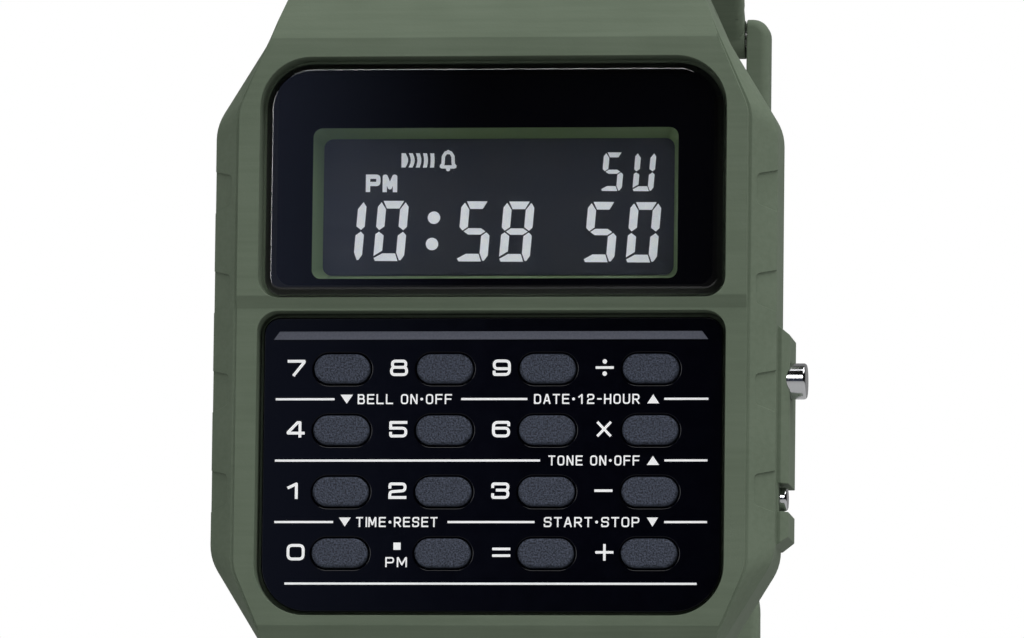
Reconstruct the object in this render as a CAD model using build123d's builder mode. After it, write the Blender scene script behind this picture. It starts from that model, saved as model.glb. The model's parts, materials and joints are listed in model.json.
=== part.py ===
"""Calculator watch, unbuckled, its strap in the curve it was moulded in.

Millimetres. +Z runs up towards 12 o'clock, +X towards 3 o'clock, and the dial faces -Y.
The origin is the centre of the case back's outer face. A height is a distance from that
face towards the dial, so a point at height h lies at y = -h.
"""

import os
from math import cos, radians, sin

from build123d import *

os.makedirs("parts", exist_ok=True)

# General
overrun = 5.0  # how far a cut runs past what it cuts
running_gap = 0.05  # radial gap of a shaft in its hole
small_gap = 0.1  # gap between pieces that lie beside each other

# Keys in their rows and columns, which set the width of the case
key_count = 4
key_shift = 0.24
key_pitch_across = 6.15
key_pitch_down = 3.67
key_length = 3.33
key_width = 1.73
key_gap = 0.07
key_proud = 0.35
key_round = 0.18
key_flange_margin = 0.42
key_flange_thickness = 0.4
key_travel = 0.3
key_press_gap = 0.05
keypad_side_margin = 3.11
first_key_down = 3.36
last_key_up = 3.78

# Window of the display in its printed film
window_side_margin = 3.02
window_top_margin = 4.085
window_bottom_margin = 1.295
window_height = 9.05
window_round = 0.55
window_depth = 1.8
window_draft = 0.42

# Bands of the case between its openings and round them, and the case's outline
top_band = 4.74
divider_width = 0.78
bottom_band = 5.1
side_band = 1.25
slope_run = 1.4
side_end_down = 8.6
shoulder_in = 3.25
shoulder_down = 3.3
end_in = 4.75
corner_round = 3.0

# Face of the case: a flat band inside a step, then a sloping side with shallow notches
face_end_down = 7.9
face_shoulder_in = 1.85
face_shoulder_down = 3.6
face_end_in = 3.25
step_width = 0.2
step_drop = 0.4
side_drop = 1.9
keypad_drop = 0.25
waist_height = 2.0
back_inset = 0.5
rim_height = 0.35
top_ridge_down = 2.4
top_ridge_drop = 0.46
top_end_drop = 1.5
bottom_slope_gap = 0.6
bottom_end_drop = 1.9
divider_slope_above = 0.12
divider_slope_below = 0.15

# Shallow notches in the sloping sides
notch_pitch = 5.98
notch_count = 4
notch_length = 2.45
notch_inner_length = 1.75
notch_depth = 0.12
notch_margin = 0.42
notch_round = 0.35

# Openings in the face, and the panes in them
display_inset = 0.03
large_round = 3.05
small_round = 1.25
pane_gap = 0.27
ledge = 0.8
ledge_thickness = 1.0
crystal_thickness = 1.2
crystal_bevel = 0.3
crystal_sink = 0.7
seal_thickness = 0.1
panel_step = 0.35
panel_thickness = 1.0

# Case back and its screws
back_thickness = 0.5
back_side_in = 0.95
back_side_end_down = 9.2
back_corner_in = 3.85
back_end_down = 4.4
back_tab_length = 3.0
back_gap = 0.08
screw_side_in = 1.15
screw_end_in = 1.1
screw_radius = 0.6
screw_head_radius = 0.95
screw_length = 2.7
screw_slot = 0.3
screw_slot_depth = 0.2
gasket_offset = 0.3
gasket_width = 0.42
gasket_depth = 0.4

# Lugs and spring bars
bar_in = 1.75
bar_height = 3.6
lug_gap = 0.2
hood_gap = 0.25
knuckle_gap = 0.2
lug_foot_margin = 0.7
lug_foot_out = 1.0
lug_foot_height = 1.9
lug_tip_height = 3.0
tube_radius = 0.75
tube_bore = 0.58
tube_lip = 0.2
tip_neck_radius = 0.42
tip_piston_radius = 0.53
tip_piston_length = 1.9
tip_flange_radius = 0.7
tip_flange_width = 0.3
tip_reach = 1.5
tip_travel = 1.6
bar_spring_radius = 0.38
bar_spring_wire = 0.14
bar_spring_turns = 11

# Button guard and side buttons
guard_reach = 0.7
guard_top = 1.05
guard_above_mode = 3.21
button_pitch = 7.05
guard_below_adjust = 2.89
guard_chamfer = 0.55
guard_low = 1.0
guard_high = 5.4
guard_front_chamfer = 0.45
button_height = 4.0
mode_radius = 1.075
mode_reach = 0.95
mode_cap_length = 2.0
mode_travel = 0.8
mode_stem_radius = 0.5
adjust_radius = 0.7
adjust_sink = 0.12
adjust_cap_length = 1.5
adjust_travel = 0.5
adjust_stem_radius = 0.4
adjust_notch_half = 0.84
adjust_notch_depth = 0.6
spring_wire = 0.15
spring_turns = 3
seal_width = 0.7
seal_radius = 0.95
clip_thickness = 0.2
clip_radius = 1.1
clip_groove = 0.12
stem_inside = 1.1
contact_gap = 0.1
contact_thickness = 0.15
contact_width = 1.6
contact_height = 2.4

# Domes behind the keys, and the stripe above them
dome_foot_radius = 1.2
dome_top_radius = 0.8
dome_height = 1.1
stripe_left_in = 0.87
stripe_right_in = 1.13
stripe_slant = 0.37
stripe_width = 0.49
stripe_down = 1.12
stripe_height = 0.12

# Movement
cavity_round = 1.0
board_thickness = 0.5
board_margin = 0.4
frame_gap = 0.35
frame_margin = 0.35
battery_radius = 8.0
battery_thickness = 1.6
battery_side_margin = 1.67
battery_end_margin = 0.46
battery_gap = 0.15
clamp_gap = 0.05
clamp_thickness = 0.13
clamp_width = 4.0
clamp_overlap = 0.9
lcd_side_margin = 1.25
lcd_end_margin = 0.775
lcd_thickness = 1.1
connector_width = 1.0
connector_height = 1.02
chip_size = 5.0
chip_thickness = 0.85
chip_side_margin = 3.07
chip_end_margin = 6.2
quartz_radius = 0.4
quartz_length = 4.6
quartz_side_margin = 3.87
quartz_up = 1.5
trimmer_radius = 1.1
trimmer_thickness = 0.7
trimmer_side_margin = 3.67
trimmer_end_margin = 3.56
buzzer_radius = 5.5
buzzer_thickness = 0.2
buzzer_across = 3.0
buzzer_spring_radius = 0.6
buzzer_spring_turns = 3

# Strap
curve_radius = 39.5
short_root_angle = 30.2
long_root_angle = 24.0
short_wrap_angle = 105.5
long_wrap_angle = 156.65
knuckle_radius = 1.9
tongue_step = 1.7
shoulder_start = 3.4
tongue_overlap = 1.6
strap_side_taper = 2.2
strap_end_width = 17.2
strap_root_thickness = 3.0
strap_end_thickness = 2.0
strap_edge_round = 0.6
strap_edge_share = 0.45
strap_stations = 10
hole_count = 9
hole_pitch = 6.2
first_hole_from_tip = 18.0
hole_length = 2.9
hole_width = 2.4
rounded_tip_length = 6.0
rounded_tip_shares = ((0.0, 1.0), (0.45, 0.93), (0.8, 0.74), (1.0, 0.5))

# Buckle, prong, pin and keeper
pin_radius = 0.6
pin_knuckle_radius = 1.25
strap_neck_step = 0.05
strap_neck_length = 2.5
prong_half = 1.0
prong_slot_gap = 0.35
prong_slot_length = 4.2
buckle_side_gap = 0.15
buckle_side_width = 1.5
buckle_thickness = 2.4
buckle_ear = 1.25
buckle_reach = 15.2
buckle_bar = 2.8
buckle_corner = 1.1
pin_sink = 0.5
prong_hub_radius = 1.15
prong_thickness = 0.9
prong_tip_margin = 0.6
keeper_before_pin = 12.0
keeper_length = 4.5
keeper_wall = 1.0
keeper_gap = 0.3
keeper_round = 0.8

# Heights, stacked from the case back to the face
battery_low = back_thickness + clamp_gap + clamp_thickness
board_front = battery_low + battery_thickness
board_back = board_front - board_thickness
frame_low = back_thickness + frame_gap
lcd_low = board_front + connector_height
lcd_high = lcd_low + lcd_thickness
crystal_seat = lcd_high + window_depth
crystal_low = crystal_seat + seal_thickness
bezel_height = crystal_low + crystal_thickness + crystal_sink
step_height = bezel_height - step_drop
keypad_bezel_height = bezel_height - keypad_drop
slope_foot = bezel_height - side_drop
top_ridge_height = bezel_height - top_ridge_drop
top_end_height = bezel_height - top_end_drop
bottom_end_height = bezel_height - bottom_end_drop
panel_seat = crystal_seat - panel_step
panel_high = panel_seat + panel_thickness
divider_foot = panel_seat - ledge_thickness
key_low = panel_seat - key_flange_thickness
dome_top = key_low - key_travel - key_press_gap
sheet_high = dome_top - dome_height
hood_height = bar_height + knuckle_radius + hood_gap

# Openings, from the keys and the display outwards
keypad_half = (key_count - 1) / 2 * key_pitch_across + key_length / 2 + keypad_side_margin
keypad_height = first_key_down + (key_count - 1) * key_pitch_down + last_key_up
display_half = keypad_half - display_inset
display_height = window_top_margin + window_height + window_bottom_margin
case_length = top_band + display_height + divider_width + keypad_height + bottom_band
case_end = case_length / 2
display_top = case_end - top_band
display_bottom = display_top - display_height
keypad_top = display_bottom - divider_width
keypad_bottom = keypad_top - keypad_height
window_half = display_half - window_side_margin
window_top = display_top - window_top_margin
window_bottom = window_top - window_height
window_centre_up = (window_top + window_bottom) / 2
cavity_half = display_half - ledge
cavity_top = display_top - ledge
cavity_bottom = keypad_bottom + ledge

# Outline of the case and of its face
face_half = keypad_half + side_band
side_half = face_half + step_width + slope_run
side_end = case_end - side_end_down
shoulder_half = side_half - shoulder_in
shoulder_up = case_end - shoulder_down
end_half = side_half - end_in
face_end = case_end - face_end_down
face_shoulder_half = face_half - face_shoulder_in
face_shoulder_up = case_end - face_shoulder_down
face_end_half = face_half - face_end_in

# Strap and buckle
short_length = curve_radius * radians(short_wrap_angle)
long_length = curve_radius * radians(long_wrap_angle)
strap_root_width = strap_end_width + 2 * strap_side_taper
tongue_half = strap_root_width / 2 - tongue_step
strap_neck_half = strap_end_width / 2 - strap_neck_step
prong_slot_half = prong_half + prong_slot_gap
buckle_aperture_half = strap_neck_half + buckle_side_gap
buckle_half = buckle_aperture_half + buckle_side_width

# Places round the case
back_half = side_half - back_side_in
back_side_end = case_end - back_side_end_down
back_corner_half = side_half - back_corner_in
back_end = case_end - back_end_down
screw_across = back_half - screw_side_in
screw_up = back_side_end - screw_end_in
bar_up = case_end - bar_in
recess_inner_up = bar_up - knuckle_radius - knuckle_gap
lug_foot_inner_up = back_end + lug_foot_margin
lug_foot_outer_up = case_end - lug_foot_out
lug_inner_half = tongue_half + lug_gap
tube_half = lug_inner_half - running_gap - tip_flange_width - tip_travel - small_gap
guard_half = side_half + guard_reach
mode_up = guard_top - guard_above_mode
adjust_up = mode_up - button_pitch
guard_bottom = adjust_up - guard_below_adjust
spring_solid = (spring_turns + 1) * spring_wire

# Places in the movement
lcd_half = window_half + lcd_side_margin
lcd_height = window_height + 2 * lcd_end_margin
battery_across = cavity_half - battery_radius - battery_side_margin
battery_up = cavity_top - battery_radius - battery_end_margin
chip_across = chip_size / 2 + chip_side_margin - cavity_half
chip_up = cavity_bottom + chip_end_margin
quartz_across = quartz_side_margin - cavity_half
trimmer_across = trimmer_side_margin - cavity_half
trimmer_up = cavity_top - trimmer_end_margin
buzzer_up = chip_up


def level(height):
    """Plane parallel to the dial, at a height from the case back."""
    return Plane.XZ.offset(height)


def across(x):
    """Plane square to X. Its first direction is +Y, its second +Z."""
    return Plane.YZ.offset(x)


def outline(plane, corners):
    """Closed outline through corners, each with the radius it is rounded by."""
    with BuildSketch(plane) as shape:
        with BuildLine():
            Polyline([(x, z) for x, z, _ in corners], close=True)
        make_face()
        for x, z, radius in corners:
            if radius > 0:
                fillet(shape.vertices().sort_by_distance((x, z))[0], radius)
    return shape.sketch


def window(plane, half, top, bottom, top_radius, bottom_radius):
    """Upright window, with one radius for its top corners and one for its bottom ones."""
    corners = [
        (-half, bottom, bottom_radius),
        (half, bottom, bottom_radius),
        (half, top, top_radius),
        (-half, top, top_radius),
    ]
    return outline(plane, corners)


def plan(plane, side, straight, shoulder, shoulder_z, end, end_z, radius):
    """Twelve-cornered outline of the case, the same at both ends and both sides."""
    quarter = [(side, straight, radius), (shoulder, shoulder_z, radius), (end, end_z, 0)]
    right = [(x, -z, r) for x, z, r in quarter[::-1]] + quarter
    left = [(-x, -z, r) for x, z, r in right]
    return outline(plane, right + left)


def grown_cavity(plane, grow):
    """Outline of the cavity, moved outwards."""
    radius = cavity_round + grow
    return window(
        plane, cavity_half + grow, cavity_top + grow, cavity_bottom - grow, radius, radius
    )


def gasket_ring():
    """Ring round the cavity, at the seat of the case back."""
    seat = level(back_thickness)
    with BuildSketch(seat) as ring:
        add(grown_cavity(Plane.XY, gasket_offset + gasket_width))
        add(grown_cavity(Plane.XY, gasket_offset), mode=Mode.SUBTRACT)
    return ring.sketch


def turned(steps, height, up):
    """Round piece along X: each step is (from, to, radius)."""
    with BuildPart() as piece:
        for start, end, radius in steps:
            with BuildSketch(across(start)):
                with Locations((-height, up)):
                    Circle(radius)
            extrude(amount=end - start)
    return piece


def coil(start, direction, length, radius, wire, turns):
    """Wire spring of one unbroken tube."""
    with BuildPart() as spring:
        with BuildLine():
            path = Helix(length / turns, length, radius, center=start, direction=direction)
        with BuildSketch(Plane(path @ 0, z_dir=path % 0)):
            Circle(wire / 2)
        sweep(path=path, is_frenet=True)
    return spring


def save(piece, name):
    """Label a finished piece and write it."""
    piece.part.label = name
    export_step(piece.part, f"parts/{name}.step")


# Case body
slope_rise = step_height - slope_foot
slope_length = (slope_run**2 + slope_rise**2) ** 0.5
slope_normal = (slope_rise / slope_length, slope_run / slope_length)
buttons = {
    "mode": (mode_up, mode_radius, mode_stem_radius, mode_cap_length, mode_travel, mode_reach),
    "adjust": (
        adjust_up,
        adjust_radius,
        adjust_stem_radius,
        adjust_cap_length,
        adjust_travel,
        -adjust_sink,
    ),
}

with BuildPart() as case_body:
    outer = (side_half, side_end, shoulder_half, shoulder_up, end_half, case_end, corner_round)
    inner = (
        side_half - back_inset,
        side_end,
        shoulder_half - back_inset,
        shoulder_up,
        end_half - back_inset,
        case_end,
        corner_round,
    )
    stepped = (
        face_half + step_width,
        face_end,
        face_shoulder_half + step_width / 2,
        face_shoulder_up,
        face_end_half,
        case_end,
        corner_round,
    )
    face = (
        face_half,
        face_end,
        face_shoulder_half,
        face_shoulder_up,
        face_end_half,
        case_end,
        corner_round,
    )
    extrude(plan(level(waist_height), *outer), amount=slope_foot - waist_height)
    loft([plan(level(rim_height), *inner), plan(level(waist_height), *outer)], ruled=True)
    loft([plan(level(slope_foot), *outer), plan(level(step_height), *stepped)], ruled=True)
    extrude(plan(level(step_height), *face), amount=step_drop)

    # Button guard
    guard_points = [
        (side_half - back_inset, guard_top, 0),
        (side_half, guard_top, 0),
        (guard_half, guard_top - guard_chamfer, 0),
        (guard_half, guard_bottom + guard_chamfer, 0),
        (side_half, guard_bottom, 0),
        (side_half - back_inset, guard_bottom, 0),
    ]
    extrude(outline(level(guard_low), guard_points), amount=guard_high - guard_low)
    guard_edge = (
        case_body.edges()
        .filter_by(Axis.Z)
        .group_by(Axis.X)[-1]
        .sort_by(Axis.Y)[0]
    )
    chamfer(guard_edge, guard_front_chamfer)

    # Slopes of the face at both ends and below the display
    front = bezel_height + overrun
    face_profile = [
        (-top_end_height, case_end + overrun, 0),
        (-top_end_height, case_end, 0),
        (-top_ridge_height, case_end - top_ridge_down, 0),
        (-bezel_height, face_shoulder_up, 0),
        (-bezel_height, display_bottom + divider_slope_above, 0),
        (-keypad_bezel_height, keypad_top + divider_slope_below, 0),
        (-keypad_bezel_height, keypad_bottom - bottom_slope_gap, 0),
        (-bottom_end_height, -case_end, 0),
        (-bottom_end_height, -case_end - overrun, 0),
        (-front, -case_end - overrun, 0),
        (-front, case_end + overrun, 0),
    ]
    extrude(
        outline(across(0), face_profile),
        amount=side_half + overrun,
        both=True,
        mode=Mode.SUBTRACT,
    )

    # Shallow notches along both sloping sides
    for side in (-1, 1):
        for index in range(notch_count):
            notch_up = (index - (notch_count - 1) / 2) * notch_pitch
            middle = (
                side * (side_half - slope_run / 2),
                -(slope_foot + slope_rise / 2),
                notch_up,
            )
            slope = Plane(
                middle,
                x_dir=(0, 0, side),
                z_dir=(side * slope_normal[0], -slope_normal[1], 0),
            )
            notch = [
                (-notch_inner_length / 2, slope_length / 2 - notch_margin, notch_round),
                (notch_inner_length / 2, slope_length / 2 - notch_margin, notch_round),
                (notch_length / 2, -slope_length / 2, 0),
                (notch_length / 2, -slope_length / 2 - notch_depth * 2, 0),
                (-notch_length / 2, -slope_length / 2 - notch_depth * 2, 0),
                (-notch_length / 2, -slope_length / 2, 0),
            ]
            extrude(outline(slope, notch), amount=-notch_depth, mode=Mode.SUBTRACT)

    # Openings for the display glass and the keypad, the ledges under them, and the cavity
    display = (display_half, display_top, display_bottom, large_round, small_round)
    keypad = (keypad_half, keypad_top, keypad_bottom, small_round, large_round)
    extrude(window(level(crystal_seat), *display), amount=overrun, mode=Mode.SUBTRACT)
    extrude(window(level(panel_seat), *keypad), amount=overrun, mode=Mode.SUBTRACT)
    display_room = (cavity_half, cavity_top, display_bottom + ledge, cavity_round, cavity_round)
    keypad_room = (cavity_half, keypad_top - ledge, cavity_bottom, cavity_round, cavity_round)
    extrude(
        window(level(divider_foot), *display_room),
        amount=crystal_seat - divider_foot,
        mode=Mode.SUBTRACT,
    )
    extrude(
        window(level(divider_foot), *keypad_room),
        amount=panel_seat - divider_foot,
        mode=Mode.SUBTRACT,
    )
    cavity = (cavity_half, cavity_top, cavity_bottom, cavity_round, cavity_round)
    extrude(window(level(0), *cavity), amount=divider_foot, mode=Mode.SUBTRACT)

    # Seat of the case back, groove of its gasket and holes of its screws
    back_plan = (
        back_half + back_gap,
        back_side_end,
        back_corner_half + back_gap,
        back_end - back_tab_length,
        back_corner_half + back_gap,
        back_end + back_gap,
        0,
    )
    extrude(plan(level(0), *back_plan), amount=back_thickness, mode=Mode.SUBTRACT)
    extrude(gasket_ring(), amount=gasket_depth, mode=Mode.SUBTRACT)
    with BuildSketch(level(back_thickness)):
        with GridLocations(2 * screw_across, 2 * screw_up, 2, 2):
            Circle(screw_radius + running_gap / 2)
    extrude(amount=screw_length, mode=Mode.SUBTRACT)

    # Lugs: the foot slopes up behind, and the strap's room is open behind and at the end
    for end in (-1, 1):
        foot = [
            (overrun, end * lug_foot_inner_up, 0),
            (-rim_height, end * lug_foot_inner_up, 0),
            (-lug_foot_height, end * lug_foot_outer_up, 0),
            (-lug_tip_height, end * case_end, 0),
            (-lug_tip_height, end * (case_end + overrun), 0),
            (overrun, end * (case_end + overrun), 0),
        ]
        extrude(
            outline(across(0), foot), amount=side_half + overrun, both=True, mode=Mode.SUBTRACT
        )
        room = [
            (overrun, end * recess_inner_up, 0),
            (-hood_height, end * recess_inner_up, cavity_round),
            (-hood_height, end * (case_end + overrun), 0),
            (overrun, end * (case_end + overrun), 0),
        ]
        extrude(outline(across(0), room), amount=lug_inner_half, both=True, mode=Mode.SUBTRACT)
        with BuildSketch(across(0)):
            with Locations((-bar_height, end * bar_up)):
                Circle(tip_neck_radius + running_gap)
        extrude(amount=side_half, both=True, mode=Mode.SUBTRACT)

    # Bores of the side buttons, and the adjust button's notch in the guard
    with BuildSketch(level(guard_low - overrun)):
        with Locations((guard_half, adjust_up)):
            Rectangle(2 * adjust_notch_depth, 2 * adjust_notch_half)
    extrude(amount=2 * overrun + guard_high, mode=Mode.SUBTRACT)
    for up, cap_radius, stem_radius, cap_length, travel, reach in buttons.values():
        cap_floor = guard_half + reach - cap_length - travel - spring_solid
        with BuildSketch(across(cap_floor)):
            with Locations((-button_height, up)):
                Circle(cap_radius + running_gap)
        extrude(amount=2 * overrun, mode=Mode.SUBTRACT)
        with BuildSketch(across(cavity_half - small_gap)):
            with Locations((-button_height, up)):
                Circle(stem_radius + running_gap)
        extrude(amount=2 * overrun, mode=Mode.SUBTRACT)
        with BuildSketch(across(cavity_half)):
            with Locations((-button_height, up)):
                Circle(seal_radius)
        extrude(amount=seal_width, mode=Mode.SUBTRACT)
save(case_body, "case_body")

# Case back, its screws and its gasket
with BuildPart() as case_back:
    plate = (
        back_half,
        back_side_end,
        back_corner_half,
        back_end - back_tab_length,
        back_corner_half,
        back_end,
        0,
    )
    extrude(plan(level(0), *plate), amount=back_thickness)
    with BuildSketch(level(0)):
        with GridLocations(2 * screw_across, 2 * screw_up, 2, 2):
            Circle(screw_head_radius + running_gap / 2)
    extrude(amount=back_thickness / 2, mode=Mode.SUBTRACT)
    with BuildSketch(level(0)):
        with GridLocations(2 * screw_across, 2 * screw_up, 2, 2):
            Circle(screw_radius + running_gap)
    extrude(amount=back_thickness, mode=Mode.SUBTRACT)
save(case_back, "case_back")

with BuildPart() as case_back_screws:
    with BuildSketch(level(0)):
        with GridLocations(2 * screw_across, 2 * screw_up, 2, 2):
            Circle(screw_head_radius)
    extrude(amount=back_thickness / 2)
    with BuildSketch(level(0)):
        with GridLocations(2 * screw_across, 2 * screw_up, 2, 2):
            Circle(screw_radius)
    extrude(amount=screw_length)
    with BuildSketch(level(0)):
        with GridLocations(2 * screw_across, 2 * screw_up, 2, 2):
            Rectangle(2 * screw_head_radius - screw_slot, screw_slot)
            Rectangle(screw_slot, 2 * screw_head_radius - screw_slot)
    extrude(amount=screw_slot_depth, mode=Mode.SUBTRACT)
save(case_back_screws, "case_back_screws")

with BuildPart() as back_gasket:
    extrude(gasket_ring(), amount=gasket_depth)
save(back_gasket, "back_gasket")

# Display glass, the ring that holds it and the printed film behind it
glass = (
    display_half - pane_gap,
    display_top - pane_gap,
    display_bottom + pane_gap,
    large_round - pane_gap,
    small_round - pane_gap,
)
with BuildPart() as crystal:
    extrude(window(level(crystal_low), *glass), amount=crystal_thickness)
    chamfer(crystal.faces().sort_by(Axis.Y)[0].edges(), crystal_bevel)
save(crystal, "crystal")

film = (
    cavity_half - small_gap,
    cavity_top - small_gap,
    display_bottom + ledge + small_gap,
    cavity_round - small_gap,
    cavity_round - small_gap,
)
with BuildPart() as crystal_seal:
    extrude(window(level(crystal_seat), *glass), amount=seal_thickness)
    extrude(window(level(crystal_seat), *film), amount=seal_thickness, mode=Mode.SUBTRACT)
save(crystal_seal, "crystal_seal")

wide = (window_half, window_top, window_bottom, window_round, window_round)
with BuildPart() as display_mask:
    extrude(window(level(crystal_seat), *film), amount=seal_thickness)
    extrude(window(level(crystal_seat), *wide), amount=seal_thickness, mode=Mode.SUBTRACT)
save(display_mask, "display_mask")

# Surround of the display, with sloping walls in front and a pocket for the panel behind
frame_foot_down = display_bottom - ledge
with BuildPart() as lcd_frame:
    lower = (film[0], film[1], frame_foot_down, film[3], film[4])
    extrude(window(level(board_front), *lower), amount=divider_foot - small_gap - board_front)
    extrude(
        window(level(divider_foot - small_gap), *film),
        amount=crystal_seat - divider_foot + small_gap,
    )
    narrow = (
        window_half - window_draft,
        window_top - window_draft,
        window_bottom + window_draft,
        window_round,
        window_round,
    )
    loft(
        [window(level(lcd_high), *narrow), window(level(crystal_seat), *wide)],
        mode=Mode.SUBTRACT,
    )
    pocket = (
        lcd_half + small_gap,
        window_centre_up + lcd_height / 2 + small_gap,
        window_centre_up - lcd_height / 2 - small_gap,
        0,
        0,
    )
    extrude(
        window(level(board_front), *pocket), amount=lcd_high - board_front, mode=Mode.SUBTRACT
    )
save(lcd_frame, "lcd_frame")

with BuildPart() as lcd_panel:
    with BuildSketch(level(lcd_low)):
        with Locations((0, window_centre_up)):
            Rectangle(2 * lcd_half, lcd_height)
    extrude(amount=lcd_thickness)
save(lcd_panel, "lcd_panel")

with BuildPart() as lcd_connectors:
    with BuildSketch(level(board_front)):
        with Locations((0, window_centre_up)):
            with GridLocations(0, lcd_height - connector_width, 1, 2):
                Rectangle(2 * lcd_half, connector_width)
    extrude(amount=lcd_low - board_front)
save(lcd_connectors, "lcd_connectors")

# Keypad cover and the stripe on it
first_column = key_shift - (key_count - 1) / 2 * key_pitch_across
first_row = keypad_top - first_key_down
key_columns = [first_column + column * key_pitch_across for column in range(key_count)]
key_rows = [first_row - row * key_pitch_down for row in range(key_count)]
key_places = [(x, z) for z in key_rows for x in key_columns]
cover = (
    keypad_half - pane_gap,
    keypad_top - pane_gap,
    keypad_bottom + pane_gap,
    small_round - pane_gap,
    large_round - pane_gap,
)
with BuildPart() as keypad_panel:
    extrude(window(level(panel_seat), *cover), amount=panel_thickness)
    with BuildSketch(level(panel_seat)):
        with Locations(*key_places):
            SlotOverall(key_length + 2 * key_gap, key_width + 2 * key_gap)
    extrude(amount=panel_thickness, mode=Mode.SUBTRACT)
save(keypad_panel, "keypad_panel")

stripe_top = keypad_top - stripe_down
with BuildPart() as panel_stripe:
    stripe = [
        (stripe_left_in - keypad_half, stripe_top - stripe_width, 0),
        (keypad_half - stripe_right_in, stripe_top - stripe_width, 0),
        (keypad_half - stripe_right_in - stripe_slant, stripe_top, 0),
        (stripe_left_in + stripe_slant - keypad_half, stripe_top, 0),
    ]
    extrude(outline(level(panel_high), stripe), amount=stripe_height)
save(panel_stripe, "panel_stripe")

# Keys, each a pill on a flange that the cover holds in
key_names = (
    ("key_7", "key_8", "key_9", "key_divide"),
    ("key_4", "key_5", "key_6", "key_multiply"),
    ("key_1", "key_2", "key_3", "key_minus"),
    ("key_0", "key_point", "key_equals", "key_plus"),
)
flange_length = key_length + 2 * key_flange_margin
flange_width = key_width + 2 * key_flange_margin
for row_up, row_names in zip(key_rows, key_names):
    for column_across, key_name in zip(key_columns, row_names):
        with BuildPart() as key:
            with BuildSketch(level(panel_seat)):
                with Locations((column_across, row_up)):
                    SlotOverall(key_length, key_width)
            extrude(amount=panel_thickness + key_proud)
            fillet(key.faces().sort_by(Axis.Y)[0].edges(), key_round)
            with BuildSketch(level(key_low)):
                with Locations((column_across, row_up)):
                    SlotOverall(flange_length, flange_width)
            extrude(amount=key_flange_thickness)
        save(key, key_name)

# Silicone sheet with a dome under each key
sheet_right = cavity_half - stem_inside - mode_travel - contact_gap - contact_thickness - small_gap
with BuildPart() as key_sheet:
    sheet = [
        (-cavity_half + board_margin, cavity_bottom + board_margin, cavity_round),
        (sheet_right, cavity_bottom + board_margin, cavity_round),
        (sheet_right, frame_foot_down - ledge, cavity_round),
        (-cavity_half + board_margin, frame_foot_down - ledge, cavity_round),
    ]
    extrude(outline(level(board_front), sheet), amount=sheet_high - board_front)
    for x, z in key_places:
        with BuildSketch(level(sheet_high)):
            with Locations((x, z)):
                Circle(dome_foot_radius)
        with BuildSketch(level(dome_top)):
            with Locations((x, z)):
                Circle(dome_top_radius)
        loft()
save(key_sheet, "key_sheet")

# Circuit board, with a round cut-out for the cell
board = (
    cavity_half - board_margin,
    cavity_top - board_margin,
    cavity_bottom + board_margin,
    cavity_round,
    cavity_round,
)
with BuildPart() as circuit_board:
    extrude(window(level(board_back), *board), amount=board_front - board_back)
    with BuildSketch(level(board_back)):
        with Locations((battery_across, battery_up)):
            Circle(battery_radius + battery_gap)
    extrude(amount=board_front - board_back, mode=Mode.SUBTRACT)
save(circuit_board, "circuit_board")

with BuildPart() as clock_chip:
    with BuildSketch(level(board_back - chip_thickness)):
        with Locations((chip_across, chip_up)):
            Rectangle(chip_size, chip_size)
    extrude(amount=chip_thickness)
save(clock_chip, "clock_chip")

with BuildPart() as quartz_can:
    with BuildSketch(Plane.XY.offset(quartz_up - quartz_length / 2)):
        with Locations((quartz_across, -(board_back - quartz_radius))):
            Circle(quartz_radius)
    extrude(amount=quartz_length)
save(quartz_can, "quartz_can")

with BuildPart() as trimmer:
    with BuildSketch(level(board_back - trimmer_thickness)):
        with Locations((trimmer_across, trimmer_up)):
            Circle(trimmer_radius)
    extrude(amount=trimmer_thickness)
    with BuildSketch(level(board_back - trimmer_thickness)):
        with Locations((trimmer_across, trimmer_up)):
            Rectangle(2 * trimmer_radius - screw_slot, screw_slot)
    extrude(amount=screw_slot_depth, mode=Mode.SUBTRACT)
save(trimmer, "trimmer")

# Movement frame behind the board, with pockets for what the board carries
frame_plan = (
    cavity_half - frame_margin,
    cavity_top - frame_margin,
    cavity_bottom + frame_margin,
    cavity_round,
    cavity_round,
)
with BuildPart() as module_frame:
    extrude(window(level(frame_low), *frame_plan), amount=board_back - frame_low)
    with BuildSketch(level(frame_low)):
        with Locations((battery_across, battery_up)):
            Circle(battery_radius + battery_gap)
        with Locations((chip_across, chip_up)):
            Rectangle(chip_size + 2 * small_gap, chip_size + 2 * small_gap)
        with Locations((quartz_across, quartz_up)):
            Rectangle(2 * quartz_radius + 2 * small_gap, quartz_length + 2 * small_gap)
        with Locations((trimmer_across, trimmer_up)):
            Circle(trimmer_radius + small_gap)
        with Locations((buzzer_across, buzzer_up)):
            Circle(buzzer_spring_radius + 2 * spring_wire)
    extrude(amount=board_back - frame_low, mode=Mode.SUBTRACT)
save(module_frame, "module_frame")

# Cell and the steel strap that holds it
with BuildPart() as battery:
    with BuildSketch(level(battery_low)):
        with Locations((battery_across, battery_up)):
            Circle(battery_radius)
    extrude(amount=battery_thickness)
save(battery, "battery")

clamp_low = battery_low - clamp_thickness
clamp_foot_up = battery_up - battery_radius - battery_gap - clamp_overlap / 2
with BuildPart() as battery_clamp:
    with BuildSketch(level(clamp_low)):
        with Locations((battery_across, battery_up - clamp_overlap / 2)):
            Rectangle(clamp_width, 2 * battery_radius + clamp_overlap)
    extrude(amount=clamp_thickness)
    with BuildSketch(level(clamp_low)):
        with Locations((battery_across, clamp_foot_up)):
            Rectangle(clamp_width, clamp_overlap)
    extrude(amount=frame_low - clamp_low)
save(battery_clamp, "battery_clamp")

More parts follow.
